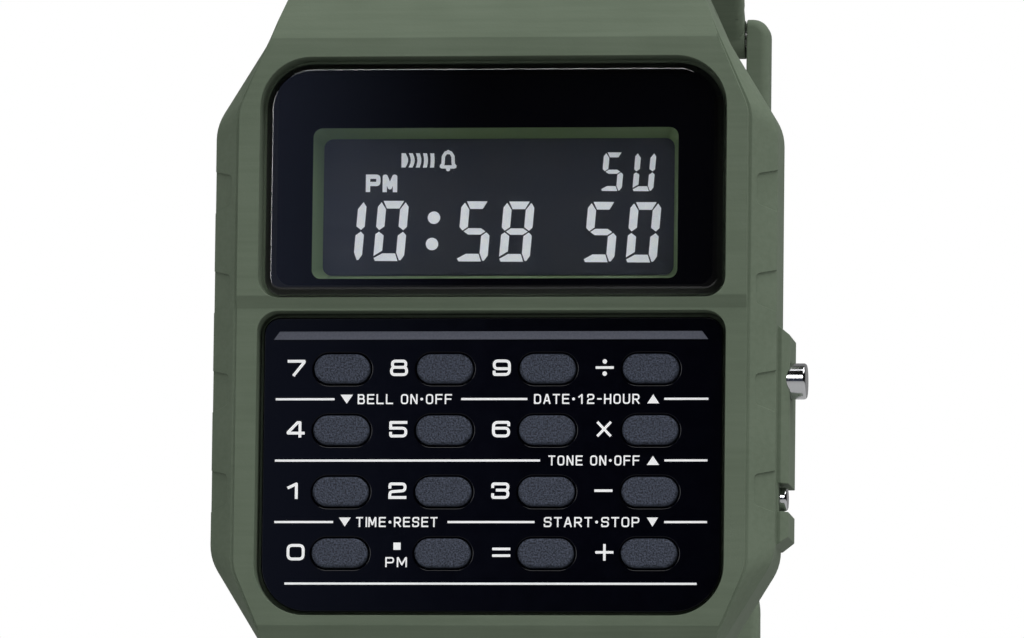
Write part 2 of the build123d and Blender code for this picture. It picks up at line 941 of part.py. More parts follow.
# Alarm disc on the case back, and its contact spring
with BuildPart() as buzzer_disc:
    with BuildSketch(level(back_thickness)):
        with Locations((buzzer_across, buzzer_up)):
            Circle(buzzer_radius)
    extrude(amount=buzzer_thickness)
save(buzzer_disc, "buzzer_disc")

buzzer_spring_low = back_thickness + buzzer_thickness + spring_wire / 2
buzzer_spring_high = board_back - spring_wire / 2
buzzer_spring = coil(
    (buzzer_across, -buzzer_spring_low, buzzer_up),
    (0, -1, 0),
    buzzer_spring_high - buzzer_spring_low,
    buzzer_spring_radius,
    spring_wire,
    buzzer_spring_turns,
)
save(buzzer_spring, "buzzer_spring")

# Side buttons: cap, stem with a clip groove, return spring, clip and seals
stem_end = cavity_half - stem_inside
clip_out = cavity_half - running_gap
clip_in = clip_out - clip_thickness
for button, (up, cap_radius, stem_radius, cap_length, travel, reach) in buttons.items():
    cap_tip = guard_half + reach
    cap_base = cap_tip - cap_length
    steps = (
        (stem_end, clip_in, stem_radius),
        (clip_in, clip_out, stem_radius - clip_groove),
        (clip_out, cap_base, stem_radius),
        (cap_base, cap_tip, cap_radius),
    )
    pusher = turned(steps, button_height, up)
    with BuildPart() as rounded:
        add(pusher.part)
        fillet(rounded.faces().sort_by(Axis.X)[-1].edges(), key_round)
    save(rounded, f"{button}_pusher")
    with BuildPart() as clip:
        with BuildSketch(across(clip_in)):
            with Locations((-button_height, up)):
                Circle(clip_radius)
                Circle(stem_radius - clip_groove + running_gap / 2, mode=Mode.SUBTRACT)
            with Locations((-button_height, up + clip_radius)):
                Rectangle(stem_radius, 2 * clip_radius, mode=Mode.SUBTRACT)
        extrude(amount=clip_thickness)
    save(clip, f"{button}_clip")
    spring_room = travel + spring_solid
    spring = coil(
        (cap_base - spring_room + spring_wire, -button_height, up),
        (1, 0, 0),
        spring_room - 2 * spring_wire,
        cap_radius - spring_wire,
        spring_wire,
        spring_turns,
    )
    save(spring, f"{button}_spring")

with BuildPart() as pusher_seals:
    for up, stem_radius in ((mode_up, mode_stem_radius), (adjust_up, adjust_stem_radius)):
        with BuildSketch(across(cavity_half)):
            with Locations((-button_height, up)):
                Circle(seal_radius)
                Circle(stem_radius + running_gap / 2, mode=Mode.SUBTRACT)
        extrude(amount=seal_width)
save(pusher_seals, "pusher_seals")

with BuildPart() as switch_contacts:
    with BuildSketch(level(board_front)):
        for up, travel in ((mode_up, mode_travel), (adjust_up, adjust_travel)):
            contact_out = stem_end - travel - contact_gap
            with Locations((contact_out - contact_thickness / 2, up)):
                Rectangle(contact_thickness, contact_width)
    extrude(amount=contact_height)
save(switch_contacts, "switch_contacts")

# Spring bars: a tube with rolled-in ends, two sliding tips and the spring between them
for end, end_name in ((1, "top"), (-1, "bottom")):
    up = end * bar_up
    with BuildPart() as tube:
        with BuildSketch(across(-tube_half)):
            with Locations((-bar_height, up)):
                Circle(tube_radius)
        extrude(amount=2 * tube_half)
        with BuildSketch(across(-tube_half)):
            with Locations((-bar_height, up)):
                Circle(tip_neck_radius + running_gap)
        extrude(amount=2 * tube_half, mode=Mode.SUBTRACT)
        with BuildSketch(across(-tube_half + tube_lip)):
            with Locations((-bar_height, up)):
                Circle(tube_bore)
        extrude(amount=2 * (tube_half - tube_lip), mode=Mode.SUBTRACT)
    save(tube, f"spring_bar_{end_name}")

    piston_out = tube_half - tube_lip
    piston_in = piston_out - tip_piston_length
    flange_out = lug_inner_half - running_gap
    flange_in = flange_out - tip_flange_width
    tip_end = lug_inner_half + tip_reach
    for side, side_name in ((-1, "left"), (1, "right")):
        steps = (
            (side * piston_in, side * piston_out, tip_piston_radius),
            (side * piston_out, side * tip_end, tip_neck_radius),
            (side * flange_in, side * flange_out, tip_flange_radius),
        )
        save(turned(steps, bar_height, up), f"tip_{end_name}_{side_name}")
    bar_spring = coil(
        (-piston_in + bar_spring_wire, -bar_height, up),
        (1, 0, 0),
        2 * (piston_in - bar_spring_wire),
        bar_spring_radius,
        bar_spring_wire,
        bar_spring_turns,
    )
    save(bar_spring, f"bar_spring_{end_name}")


# Strap
def strap_place(end, root_angle, along):
    """Point on a strap half's curve, and the angle it has turned through from -Y."""
    centre_y = -bar_height + curve_radius * cos(radians(root_angle))
    centre_z = bar_up - curve_radius * sin(radians(root_angle))
    turn = radians(root_angle) + along / curve_radius
    point = (0, centre_y - curve_radius * cos(turn), end * (centre_z + curve_radius * sin(turn)))
    return point, turn


def strap_station(end, root_angle, along):
    """Plane square to a strap half's curve, at a length along it from the spring bar."""
    point, turn = strap_place(end, root_angle, along)
    return Plane(point, x_dir=(1, 0, 0), z_dir=(0, sin(turn), end * cos(turn)))


def strap_face(end, root_angle, along):
    """Plane lying in a strap half, looking outwards from the wrist."""
    point, turn = strap_place(end, root_angle, along)
    return Plane(point, x_dir=(1, 0, 0), z_dir=(0, -cos(turn), end * sin(turn)))


def taper(first, last, share):
    """Size at a share of the way from first to last."""
    return first + (last - first) * share


def strap_sections(last):
    """Sections of a strap half from its shoulder to the place where its taper ends."""
    sections = []
    for station in range(strap_stations):
        share = station / (strap_stations - 1)
        sections.append(
            (
                taper(shoulder_start, last, share),
                taper(strap_root_width, strap_end_width, share),
                taper(strap_root_thickness, strap_end_thickness, share),
            )
        )
    return sections


def band(end, root_angle, sections):
    """Strip lofted along the curve: each section is (along, width, thickness)."""
    with BuildPart() as strip:
        for along, width, thickness in sections:
            edge_round = min(strap_edge_round, thickness * strap_edge_share)
            with BuildSketch(strap_station(end, root_angle, along)):
                RectangleRounded(width, thickness, edge_round)
        loft()
    return strip.part


def strap_root(end, root_angle):
    """Knuckle round the spring bar and the tongue that joins it to the shoulder."""
    with BuildPart() as root:
        with BuildSketch(across(0)):
            with Locations((-bar_height, end * bar_up)):
                Circle(knuckle_radius)
        extrude(amount=tongue_half, both=True)
        tongue = [
            (along, 2 * tongue_half, strap_root_thickness)
            for along in (0, shoulder_start / 2, shoulder_start, shoulder_start + tongue_overlap)
        ]
        add(band(end, root_angle, tongue))
    return root.part


def bar_bore(end):
    """Tool that opens a strap half for its spring bar."""
    with BuildPart() as tool:
        with BuildSketch(across(0)):
            with Locations((-bar_height, end * bar_up)):
                Circle(tube_radius + running_gap)
        extrude(amount=side_half, both=True)
    return tool.part


neck_start = short_length - strap_neck_length
pin_point, pin_turn = strap_place(1, short_root_angle, short_length)
pin_y = pin_point[1]
pin_z = pin_point[2]
with BuildPart() as strap_short:
    add(strap_root(1, short_root_angle))
    add(band(1, short_root_angle, strap_sections(neck_start)))
    neck = [
        (neck_start - strap_end_thickness, 2 * strap_neck_half, strap_end_thickness),
        (neck_start, 2 * strap_neck_half, strap_end_thickness),
        (short_length, 2 * strap_neck_half, strap_end_thickness),
    ]
    add(band(1, short_root_angle, neck))
    with BuildSketch(across(0)):
        with Locations((pin_y, pin_z)):
            Circle(pin_knuckle_radius)
    extrude(amount=strap_neck_half, both=True)
    add(bar_bore(1), mode=Mode.SUBTRACT)
    with BuildSketch(across(0)):
        with Locations((pin_y, pin_z)):
            Circle(pin_radius)
    extrude(amount=strap_neck_half, both=True, mode=Mode.SUBTRACT)
    with BuildSketch(strap_face(1, short_root_angle, short_length)):
        Rectangle(2 * prong_slot_half, 2 * prong_slot_length)
    extrude(amount=2 * pin_knuckle_radius, both=True, mode=Mode.SUBTRACT)
save(strap_short, "strap_short")

tip_start = long_length - rounded_tip_length
with BuildPart() as strap_long:
    add(strap_root(-1, long_root_angle))
    add(band(-1, long_root_angle, strap_sections(tip_start)))
    tip_sections = [
        (
            tip_start + share * rounded_tip_length,
            strap_end_width * width_share,
            strap_end_thickness,
        )
        for share, width_share in rounded_tip_shares
    ]
    add(band(-1, long_root_angle, tip_sections))
    add(bar_bore(-1), mode=Mode.SUBTRACT)
    for hole in range(hole_count):
        along = long_length - first_hole_from_tip - hole * hole_pitch
        with BuildSketch(strap_face(-1, long_root_angle, along)):
            SlotOverall(hole_length, hole_width)
        extrude(amount=strap_root_thickness, both=True, mode=Mode.SUBTRACT)
save(strap_long, "strap_long")

# Buckle: a frame whose ears turn on the pin, hanging straight down, and its prong
buckle_plane = Plane.XZ.offset(-pin_y)
with BuildPart() as buckle_frame:
    with BuildSketch(buckle_plane):
        with Locations((0, pin_z + (buckle_ear - buckle_reach) / 2)):
            RectangleRounded(2 * buckle_half, buckle_ear + buckle_reach, buckle_corner)
        with Locations((0, pin_z - (buckle_reach - buckle_bar) / 2 + overrun / 2)):
            Rectangle(
                2 * buckle_aperture_half,
                buckle_reach - buckle_bar + overrun,
                mode=Mode.SUBTRACT,
            )
    extrude(amount=buckle_thickness / 2, both=True)
    outer_edges = buckle_frame.faces().filter_by(Axis.Y).edges().filter_by(Axis.Z).group_by(Axis.X)
    fillet(outer_edges[0] + outer_edges[-1], strap_edge_round)
    with BuildSketch(across(0)):
        with Locations((pin_y, pin_z)):
            Circle(pin_radius + running_gap)
    extrude(amount=buckle_half - pin_sink + running_gap, both=True, mode=Mode.SUBTRACT)
save(buckle_frame, "buckle_frame")

with BuildPart() as buckle_pin:
    with BuildSketch(across(0)):
        with Locations((pin_y, pin_z)):
            Circle(pin_radius)
    extrude(amount=buckle_half - pin_sink, both=True)
save(buckle_pin, "buckle_pin")

prong_rest = buckle_thickness / 2 + running_gap
prong_tip = pin_z - buckle_reach + prong_tip_margin
bar_top = pin_z - buckle_reach + buckle_bar
with BuildPart() as buckle_tongue:
    with BuildSketch(across(0)):
        with Locations((pin_y, pin_z)):
            Circle(prong_hub_radius)
    extrude(amount=prong_half, both=True)
    blade = [
        (pin_y + prong_hub_radius - prong_thickness, pin_z, 0),
        (pin_y + prong_rest, bar_top + prong_thickness, 0),
        (pin_y + prong_rest, prong_tip, 0),
        (pin_y + prong_rest + prong_thickness / 2, prong_tip, 0),
        (pin_y + prong_rest + prong_thickness, prong_tip + prong_thickness, 0),
        (pin_y + prong_rest + prong_thickness, bar_top + prong_thickness, 0),
        (pin_y + prong_hub_radius, pin_z, 0),
    ]
    extrude(outline(across(0), blade), amount=prong_half, both=True)
    with BuildSketch(across(0)):
        with Locations((pin_y, pin_z)):
            Circle(pin_radius + running_gap)
    extrude(amount=prong_half, both=True, mode=Mode.SUBTRACT)
save(buckle_tongue, "buckle_tongue")

# Keeper, a loose loop on the short half
keeper_along = short_length - keeper_before_pin
keeper_share = (keeper_along - shoulder_start) / (neck_start - shoulder_start)
keeper_width = taper(strap_root_width, strap_end_width, keeper_share) + 2 * keeper_gap
keeper_thickness = taper(strap_root_thickness, strap_end_thickness, keeper_share) + 2 * keeper_gap
keeper_outer = (keeper_width + 2 * keeper_wall, keeper_thickness + 2 * keeper_wall)
with BuildPart() as keeper:
    with BuildSketch(strap_station(1, short_root_angle, keeper_along)):
        RectangleRounded(*keeper_outer, keeper_round)
        RectangleRounded(keeper_width, keeper_thickness, strap_edge_round, mode=Mode.SUBTRACT)
    extrude(amount=keeper_length / 2, both=True)
save(keeper, "keeper")

keeper_turn = strap_place(1, short_root_angle, keeper_along)[1]
print("buckle pin at", round(pin_y, 3), round(pin_z, 3))
print("keeper slides along", round(sin(keeper_turn), 5), round(cos(keeper_turn), 5))
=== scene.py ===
# %% [markdown]
# # A calculator watch, dressed in Blender
# The watch comes from its construction model: every piece at its real size, in metres,
# with the dial facing -Y, 12 o'clock towards +Z and 3 o'clock towards +X. This lesson
# adds what a construction model leaves out: soft edges, surface finishes, the lit
# segments of the display, the printing on the keypad, plain studio light and a camera.

# %% Load the frame
import json
from math import cos, pi, radians, sin, tan

import bmesh
import bpy
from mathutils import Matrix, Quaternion, Vector
from mathutils.geometry import delaunay_2d_cdt


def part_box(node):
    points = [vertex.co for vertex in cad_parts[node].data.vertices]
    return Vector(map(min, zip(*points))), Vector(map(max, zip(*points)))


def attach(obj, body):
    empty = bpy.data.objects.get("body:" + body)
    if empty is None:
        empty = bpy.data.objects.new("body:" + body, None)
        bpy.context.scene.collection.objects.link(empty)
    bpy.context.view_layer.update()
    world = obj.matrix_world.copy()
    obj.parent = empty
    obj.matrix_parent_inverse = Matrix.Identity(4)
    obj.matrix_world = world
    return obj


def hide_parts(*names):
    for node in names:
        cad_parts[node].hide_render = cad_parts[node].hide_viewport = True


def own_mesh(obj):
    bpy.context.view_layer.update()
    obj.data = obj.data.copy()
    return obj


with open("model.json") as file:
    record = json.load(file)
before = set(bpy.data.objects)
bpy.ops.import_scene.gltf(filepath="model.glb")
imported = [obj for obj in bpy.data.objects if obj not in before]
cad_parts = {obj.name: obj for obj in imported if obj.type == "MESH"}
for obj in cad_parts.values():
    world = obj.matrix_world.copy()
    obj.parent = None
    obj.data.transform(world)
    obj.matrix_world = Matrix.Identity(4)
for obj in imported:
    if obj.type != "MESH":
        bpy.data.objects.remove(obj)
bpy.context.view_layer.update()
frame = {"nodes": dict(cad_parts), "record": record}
nodes = frame["nodes"]
mm = 0.001
print(len(nodes), "pieces come from the construction model")

# %% [markdown]
# ## Camera
# The watch was photographed almost straight on, from a little to the right and a little
# below, with a long lens: the left and top walls of the display's window show, and the
# right and bottom ones don't. A long lens far away keeps the perspective as flat as that.

# %% Camera
camera_azimuth = radians(6.8)
camera_elevation = radians(-6.8)
camera_roll = radians(0.69)
camera_distance = 635 * mm
width_seen = 60.7 * mm
sensor_width = 36
aim = Vector((1.29, -8.2, 1.11)) * mm

towards_camera = Vector(
    (
        sin(camera_azimuth) * cos(camera_elevation),
        -cos(camera_azimuth) * cos(camera_elevation),
        sin(camera_elevation),
    )
)
lens = bpy.data.cameras.new("camera")
lens.sensor_width = sensor_width
lens.lens = sensor_width * camera_distance / width_seen
lens.clip_start = 10 * mm
lens.clip_end = 20
camera = bpy.data.objects.new("camera", lens)
camera.location = aim + towards_camera * camera_distance
turn = (-towards_camera).to_track_quat("-Z", "Y") @ Quaternion((0, 0, 1), camera_roll)
camera.rotation_mode = "QUATERNION"
camera.rotation_quaternion = turn
bpy.context.scene.collection.objects.link(camera)
bpy.context.scene.camera = camera
bpy.context.scene.view_settings.view_transform = "Standard"
print("lens", round(lens.lens), "mm, at", [round(c, 3) for c in camera.location])

# %% [markdown]
# ## Colours and nodes
# Colours are written the way a picture editor shows them, as sRGB hex, and Blender's
# shaders want linear light, so one function turns one into the other. Another adds a
# shader node, sets it up and plugs in what feeds it.


# %% Colour and node helpers
def linear(hex_colour):
    """sRGB hex colour as linear red, green, blue and alpha."""
    channels = [int(hex_colour[i : i + 2], 16) / 255 for i in (1, 3, 5)]
    return [c / 12.92 if c <= 0.04045 else ((c + 0.055) / 1.055) ** 2.4 for c in channels] + [1]


def node(tree, kind, inputs=None, **settings):
    """One shader node; an input is a plain value or the output of another node."""
    made = tree.nodes.new("ShaderNode" + kind)
    for name, value in settings.items():
        setattr(made, name, value)
    for name, value in (inputs or {}).items():
        if isinstance(value, bpy.types.NodeSocket):
            tree.links.new(value, made.inputs[name])
        else:
            made.inputs[name].default_value = value
    return made


# %% [markdown]
# ## Light
# The photograph has a white background and even light: brightest from above, a little
# stronger from the right, weakest from below. Soft boxes all round would do that; a world
# that brightens upwards, with one broad lamp overhead, does it with less noise. Mirrored
# and refracted rays see a studio of their own: dark in front, so that black panes stay
# black, pale to the left, and two small bright strips that light the rims of the panes.

# %% World
white = (1, 1, 1, 1)
pane_tint = linear("#bccdff")
even_light = 0.83
light_slope = (0.3, -0.12, 0.36)
strip_strength = 6
# Axis, where along it the light starts and is full, and its weakest and strongest
mirrored_lights = {
    "ahead": ((0, -1, 0), 0.85, 0.95, 0, 1),
    "left": ((-1, 0, 0), 0.119, 0.155, 0.008, 0.65),
    "top strip": ((-0.118, -0.899, 0.422), 0.984, 0.993, 0, strip_strength),
    "left strip": ((-0.422, -0.899, 0.118), 0.984, 0.993, 0, strip_strength),
    "behind": ((0, 1, 0), 0.15, 0.5, 0, 0.25),
}

world = bpy.data.worlds.new("studio")
bpy.context.scene.world = world
world.use_nodes = True
studio = world.node_tree
studio.nodes.clear()
direction = node(studio, "TexCoord").outputs["Generated"]
slope = node(studio, "VectorMath", {0: direction, 1: light_slope}, operation="DOT_PRODUCT")
level = node(studio, "Math", {0: slope.outputs["Value"], 1: even_light}, operation="ADD")
ambient = node(studio, "Background", {"Strength": level.outputs[0]})

rise = {}
for name, (axis, start, full, weakest, strongest) in mirrored_lights.items():
    reach = node(studio, "VectorMath", {0: direction, 1: axis}, operation="DOT_PRODUCT")
    inputs = {"Value": reach.outputs["Value"], "From Min": start, "From Max": full}
    inputs.update({"To Min": weakest, "To Max": strongest})
    rise[name] = node(studio, "MapRange", inputs, interpolation_type="SMOOTHSTEP").outputs["Result"]
front = node(studio, "Math", {0: rise["ahead"], 1: rise["left"]}, operation="MULTIPLY")
cool = node(studio, "Background", {"Color": pane_tint, "Strength": front.outputs[0]})
strips = node(studio, "Math", {0: rise["top strip"], 1: rise["left strip"]}, operation="MAXIMUM")
plain = node(studio, "Math", {0: strips.outputs[0], 1: rise["behind"]}, operation="MAXIMUM")
neutral = node(studio, "Background", {"Color": white, "Strength": plain.outputs[0]})
mirrored = node(studio, "AddShader", {0: cool.outputs[0], 1: neutral.outputs[0]})

backdrop = node(studio, "Background", {"Color": white, "Strength": 1})
ray = node(studio, "LightPath").outputs
sharp_rays = {0: ray["Is Glossy Ray"], 1: ray["Is Transmission Ray"]}
sharp = node(studio, "Math", sharp_rays, operation="MAXIMUM").outputs[0]
unseen = node(studio, "MixShader", {0: sharp, 1: ambient.outputs[0], 2: mirrored.outputs[0]})
seen = ray["Is Camera Ray"]
shown = node(studio, "MixShader", {0: seen, 1: unseen.outputs[0], 2: backdrop.outputs[0]})
node(studio, "OutputWorld", {"Surface": shown.outputs[0]})
print("the world has", len(mirrored_lights), "mirrored lights")

# %% [markdown]
# ### Lamp
# A soft box above the watch, a little to the right and in front. An area lamp half a metre
# wide makes the same soft shadows; its power is set so that it adds half as much light
# as a pale surface needs to look as pale as its colour.

# %% Lamp
lamp_direction = Vector((0.35, -0.25, 0.9)).normalized()
lamp_distance = 0.7
lamp_size = 0.5
lamp_share = 0.5
lamp_data = bpy.data.lights.new("overhead", "AREA")
lamp_data.shape = "SQUARE"
lamp_data.size = lamp_size
lamp_data.energy = lamp_share * pi**2 * lamp_distance**2
lamp = bpy.data.objects.new("overhead", lamp_data)
lamp.location = lamp_direction * lamp_distance
lamp.rotation_mode = "QUATERNION"
lamp.rotation_quaternion = (-lamp_direction).to_track_quat("-Z", "Y")
lamp.visible_camera = False
bpy.context.scene.collection.objects.link(lamp)
print("lamp power", round(lamp_data.energy, 2), "W")

# %% [markdown]
# ## Floor
# The watch is held at its case back, as on a display stand, so it hovers, and the floor
# lies well below it, out of the camera's view. It is pale paper. A curved backdrop isn't
# needed, since the world is white behind it. Light that bounces off the floor is kept
# weaker than the paper looks, because the photograph is dark underneath.

# %% Floor
floor_height = -130 * mm
floor_half = 1.5
paper = bpy.data.materials.new("pale_paper")
paper.use_nodes = True
tree = paper.node_tree
tree.nodes.clear()
plain = node(tree, "BsdfDiffuse", {"Color": linear("#f4f4f2")}).outputs[0]
dimmed = node(tree, "BsdfDiffuse", {"Color": linear("#bcbcbc")}).outputs[0]
weak = node(tree, "BsdfDiffuse", {"Color": linear("#969696")}).outputs[0]
ray = node(tree, "LightPath").outputs
mirrored = node(tree, "MixShader", {0: ray["Is Glossy Ray"], 1: plain, 2: dimmed}).outputs[0]
shown = node(tree, "MixShader", {0: ray["Is Diffuse Ray"], 1: mirrored, 2: weak}).outputs[0]
node(tree, "OutputMaterial", {"Surface": shown})
corners = [
    (across * floor_half, deep * floor_half, floor_height)
    for across, deep in ((-1, -1), (1, -1), (1, 1), (-1, 1))
]
floor_mesh = bpy.data.meshes.new("floor")
floor_mesh.from_pydata(corners, [], [range(len(corners))])
floor_mesh.materials.append(paper)
floor = bpy.data.objects.new("floor", floor_mesh)
bpy.context.scene.collection.objects.link(floor)
print("the floor lies", round(-floor_height / mm), "mm below the watch's middle")

# %% [markdown]
# ## Materials
# Each finish starts from one principled shader with the typical values of the real
# material. Photographs of samples could give the pattern; noise does it here, because its
# grain can be a real size in millimetres and it has no seams. `finish` makes the plain
# material, `noise` the pattern, and `follow` lets a pattern lead what it is given.

# %% Material helpers
materials = {}


def finish(name, colour, roughness, **values):
    """New material with one principled shader; returns its tree and that shader."""
    made = bpy.data.materials.new(name)
    made.use_nodes = True
    tree = made.node_tree
    tree.nodes.clear()
    inputs = {"Base Color": linear(colour), "Roughness": roughness}
    inputs.update({key.replace("_", " "): value for key, value in values.items()})
    shader = node(tree, "BsdfPrincipled", inputs)
    node(tree, "OutputMaterial", {"Surface": shader.outputs[0]})
    materials[name] = made
    print("material", name)
    return tree, shader


def noise(tree, grain, stretch=(1, 1, 1), detail=2.0):
    """Noise whose grain is that many millimetres, and longer along an axis scaled below one."""
    place = node(tree, "TexCoord").outputs["Object"]
    scaled = node(tree, "Mapping", {"Vector": place, "Scale": stretch}).outputs[0]
    inputs = {"Vector": scaled, "Scale": 1 / (grain * mm), "Detail": detail}
    return node(tree, "TexNoise", inputs).outputs[0]


def follow(
    tree, shader, pattern, colours=None, span=(0.35, 0.65), roughness=None, depth=0, strength=1.0
):
    """Lets a pattern lead the colour, the roughness or, in millimetres, the height of a finish."""
    if colours:
        share = node(tree, "MapRange", {"Value": pattern, "From Min": span[0], "From Max": span[1]})
        # A mix of colours takes them in its inputs 6 and 7 and gives the result in output 2
        inputs = {0: share.outputs[0], 6: linear(colours[0]), 7: linear(colours[1])}
        mix = node(tree, "Mix", inputs, data_type="RGBA")
        tree.links.new(mix.outputs[2], shader.inputs["Base Color"])
    if roughness:
        inputs = {"Value": pattern, "To Min": roughness[0], "To Max": roughness[1]}
        spread = node(tree, "MapRange", inputs)
        tree.links.new(spread.outputs[0], shader.inputs["Roughness"])
    if depth:
        inputs = {"Height": pattern, "Distance": depth * mm, "Strength": strength}
        tree.links.new(node(tree, "Bump", inputs).outputs[0], shader.inputs["Normal"])


# %% [markdown]
# ### Moulded green resin
# The case and strap are polyurethane resin, injected into a spark-eroded mould. The mould
# leaves a very fine even grain, so the resin has no sharp reflection, only a broad soft
# sheen, and the dye drifts in shade over some millimetres, with faint streaks where the
# resin flowed. The real grain is a few hundredths of a millimetre, too fine to show, so
# it is drawn 0.16 mm coarse.

# %% Green resin
tree, shader = finish("moulded_resin", "#667261", roughness=0.6, IOR=1.48, Specular_IOR_Level=0.12)
clouds = noise(tree, grain=3.5)
streaks = noise(tree, grain=0.3, stretch=(0.04, 1, 1))
shade = node(tree, "Math", {0: clouds, 1: streaks}, operation="ADD").outputs[0]
follow(tree, shader, shade, colours=("#636f5e", "#697564"), span=(0.75, 1.25))
mould_grain = noise(tree, grain=0.16, detail=3.0)
follow(tree, shader, mould_grain, roughness=(0.52, 0.68), depth=0.012, strength=0.6)

# %% [markdown]
# ### Green surround of the display
# The walls round the display are moulded ABS, in a mossier green than the case and lit
# only through the glass. Its satin mould gives a dull, even face.

# %% Surround plastic
tree, shader = finish("surround_abs", "#6b805c", roughness=0.5)
follow(tree, shader, noise(tree, grain=0.2), roughness=(0.45, 0.58), depth=0.006, strength=0.4)

# %% [markdown]
# ### Clear acrylic
# The display glass is a polished pane. It mirrors a little of the studio and shows the
# display behind it. Light would have to find its way through it by chance, which is slow
# and speckled, so rays on their way to a lamp pass it unchanged.

# %% Clear pane
tree, shader = finish("clear_acrylic", "#ffffff", roughness=0.0, IOR=1.49, Transmission_Weight=1.0)
output = next(part for part in tree.nodes if part.type == "OUTPUT_MATERIAL")
open_way = node(tree, "BsdfTransparent").outputs[0]
shadow = node(tree, "LightPath").outputs["Is Shadow Ray"]
pane = node(tree, "MixShader", {0: shadow, 1: shader.outputs[0], 2: open_way}).outputs[0]
tree.links.new(pane, output.inputs["Surface"])

# %% [markdown]
# ### Black film and black keypad cover
# Behind the glass is a film printed in deep black, whose ink lies so close to the glass
# that it shows a faint cool sheen. The keypad cover is black polycarbonate, moulded with
# a smooth gloss and a slight waviness of some millimetres.

# %% Blacks
tree, shader = finish("black_film", "#030309", roughness=0.12, IOR=1.9)
follow(tree, shader, noise(tree, grain=0.5), roughness=(0.1, 0.14))

tree, shader = finish("black_polycarbonate", "#020208", roughness=0.1, Specular_IOR_Level=0.25)
follow(tree, shader, noise(tree, grain=0.8), roughness=(0.07, 0.12))
follow(tree, shader, noise(tree, grain=6.0), depth=0.004, strength=0.4)

# %% [markdown]
# ### Display
# The display is a negative liquid crystal: a dark polarising film with segments that turn
# pale grey. The film is stretched plastic, smooth, with the faintest cast of blue. The
# segments are given a little painted glow, which stands in for the light that the recess
# and the glass keep from them.

# %% Display film and segments
tree, shader = finish("dark_polariser", "#373b43", roughness=0.3, Specular_IOR_Level=0.05)
follow(tree, shader, noise(tree, grain=2.5), colours=("#363a43", "#393c43"))

# Painted glow: emission on the segments, which are no lamp, brightens them as more light would
painted_segment_glow = {"Emission_Color": linear("#eef3f8"), "Emission_Strength": 0.17}
tree, shader = finish("lit_segment", "#edf2f8", roughness=0.45, **painted_segment_glow)
follow(tree, shader, noise(tree, grain=0.5), colours=("#e9eef4", "#f2f6fb"))

# %% [markdown]
# ### Printing ink and stripe
# The legends are screen printed in white ink, thick enough to cover the black, and the
# bar above the keys in grey. The mesh of the screen leaves a fleck of a tenth of a
# millimetre. A little glow keeps the thin white lines as clear as the photograph's.

# %% Inks
ink_glow = {"Emission_Color": linear("#ffffff"), "Emission_Strength": 0.15}
tree, shader = finish("white_ink", "#fbfcfd", roughness=0.5, **ink_glow)
follow(tree, shader, noise(tree, grain=0.1), roughness=(0.45, 0.6))

tree, shader = finish("grey_ink", "#636672", roughness=0.5, Specular_IOR_Level=0.1)
follow(tree, shader, noise(tree, grain=0.12), colours=("#5f626e", "#686b77"))

# %% [markdown]
# ### Keys
# The keys are moulded in dark ABS with a coarse stipple etched into their mould, about a
# tenth of a millimetre from peak to peak, so that they look speckled and dull. Real pits
# in the mesh would need a million faces; a bump does it, with painted shade in the pits
# and painted light on the peaks.

# %% Key plastic
tree, shader = finish("stippled_abs", "#303542", roughness=0.65, Specular_IOR_Level=0.35)
stipple = noise(tree, grain=0.1, detail=4.0)
# The stipple's pits are painted darker and its peaks lighter: painted shade and light
follow(tree, shader, stipple, colours=("#1c202b", "#4c5364"), span=(0.38, 0.62), depth=0.07)

# %% [markdown]
# ### Steels
# The side buttons are polished steel, the case back is brushed along the case, the pins,
# prong and screws are bright turned steel, and the springs are drawn wire. Brushing and
# turning draw fine lines one way, which smear reflections across them; polishing leaves
# only a slight unevenness.

# %% Steels
tree, shader = finish("polished_steel", "#c9cacc", roughness=0.12, Metallic=1.0)
follow(tree, shader, noise(tree, grain=0.4), roughness=(0.08, 0.16))

tree, shader = finish("brushed_steel", "#b9b9b6", roughness=0.3, Metallic=1.0)
brushing = noise(tree, grain=0.12, stretch=(1, 1, 0.03), detail=4.0)
follow(tree, shader, brushing, roughness=(0.24, 0.42), depth=0.006, strength=0.5)

tree, shader = finish("turned_steel", "#bdbdbb", roughness=0.25, Metallic=1.0)
turning = noise(tree, grain=0.1, stretch=(0.05, 1, 1))
follow(tree, shader, turning, roughness=(0.2, 0.34))

tree, shader = finish("spring_wire", "#a8a8a6", roughness=0.3, Metallic=1.0)
follow(tree, shader, noise(tree, grain=0.15), roughness=(0.22, 0.38))

# %% [markdown]
# ### Inside
# What the case hides gets its own plain finish too. Moulded rubber, ABS and epoxy are
# dull and finely grained, the lacquer on the board is half glossy over its copper, nickel
# plate on the cell is bright, and the rolled brass of the buzzer is satin.

# %% Inner materials
roughness_spread = 0.06
inner_relief = 0.5
# Colour, roughness, grain and its depth in millimetres, and whether it is a metal
inner_finishes = {
    "nitrile_rubber": ("#08080c", 0.75, 0.2, 0.01, 0),
    "silicone_rubber": ("#8f8e88", 0.6, 0.3, 0.01, 0),
    "black_abs": ("#232324", 0.55, 0.2, 0.008, 0),
    "solder_mask": ("#1d4a2c", 0.35, 0.4, 0.006, 0),
    "moulded_epoxy": ("#161617", 0.7, 0.08, 0.008, 0),
    "nickel_plate": ("#c3c2bd", 0.25, 0.5, 0.003, 1),
    "satin_brass": ("#c7a253", 0.35, 0.15, 0.003, 1),
}
for name, (colour, roughness, grain, depth, metal) in inner_finishes.items():
    tree, shader = finish(name, colour, roughness, Metallic=metal)
    limits = (roughness - roughness_spread, roughness + roughness_spread)
    follow(tree, shader, noise(tree, grain), roughness=limits, depth=depth, strength=inner_relief)

# %% [markdown]
# ### Which piece gets which finish
# The construction model's record gives each piece a slot. Every slot gets one finish, so
# that pieces of one real material always match.

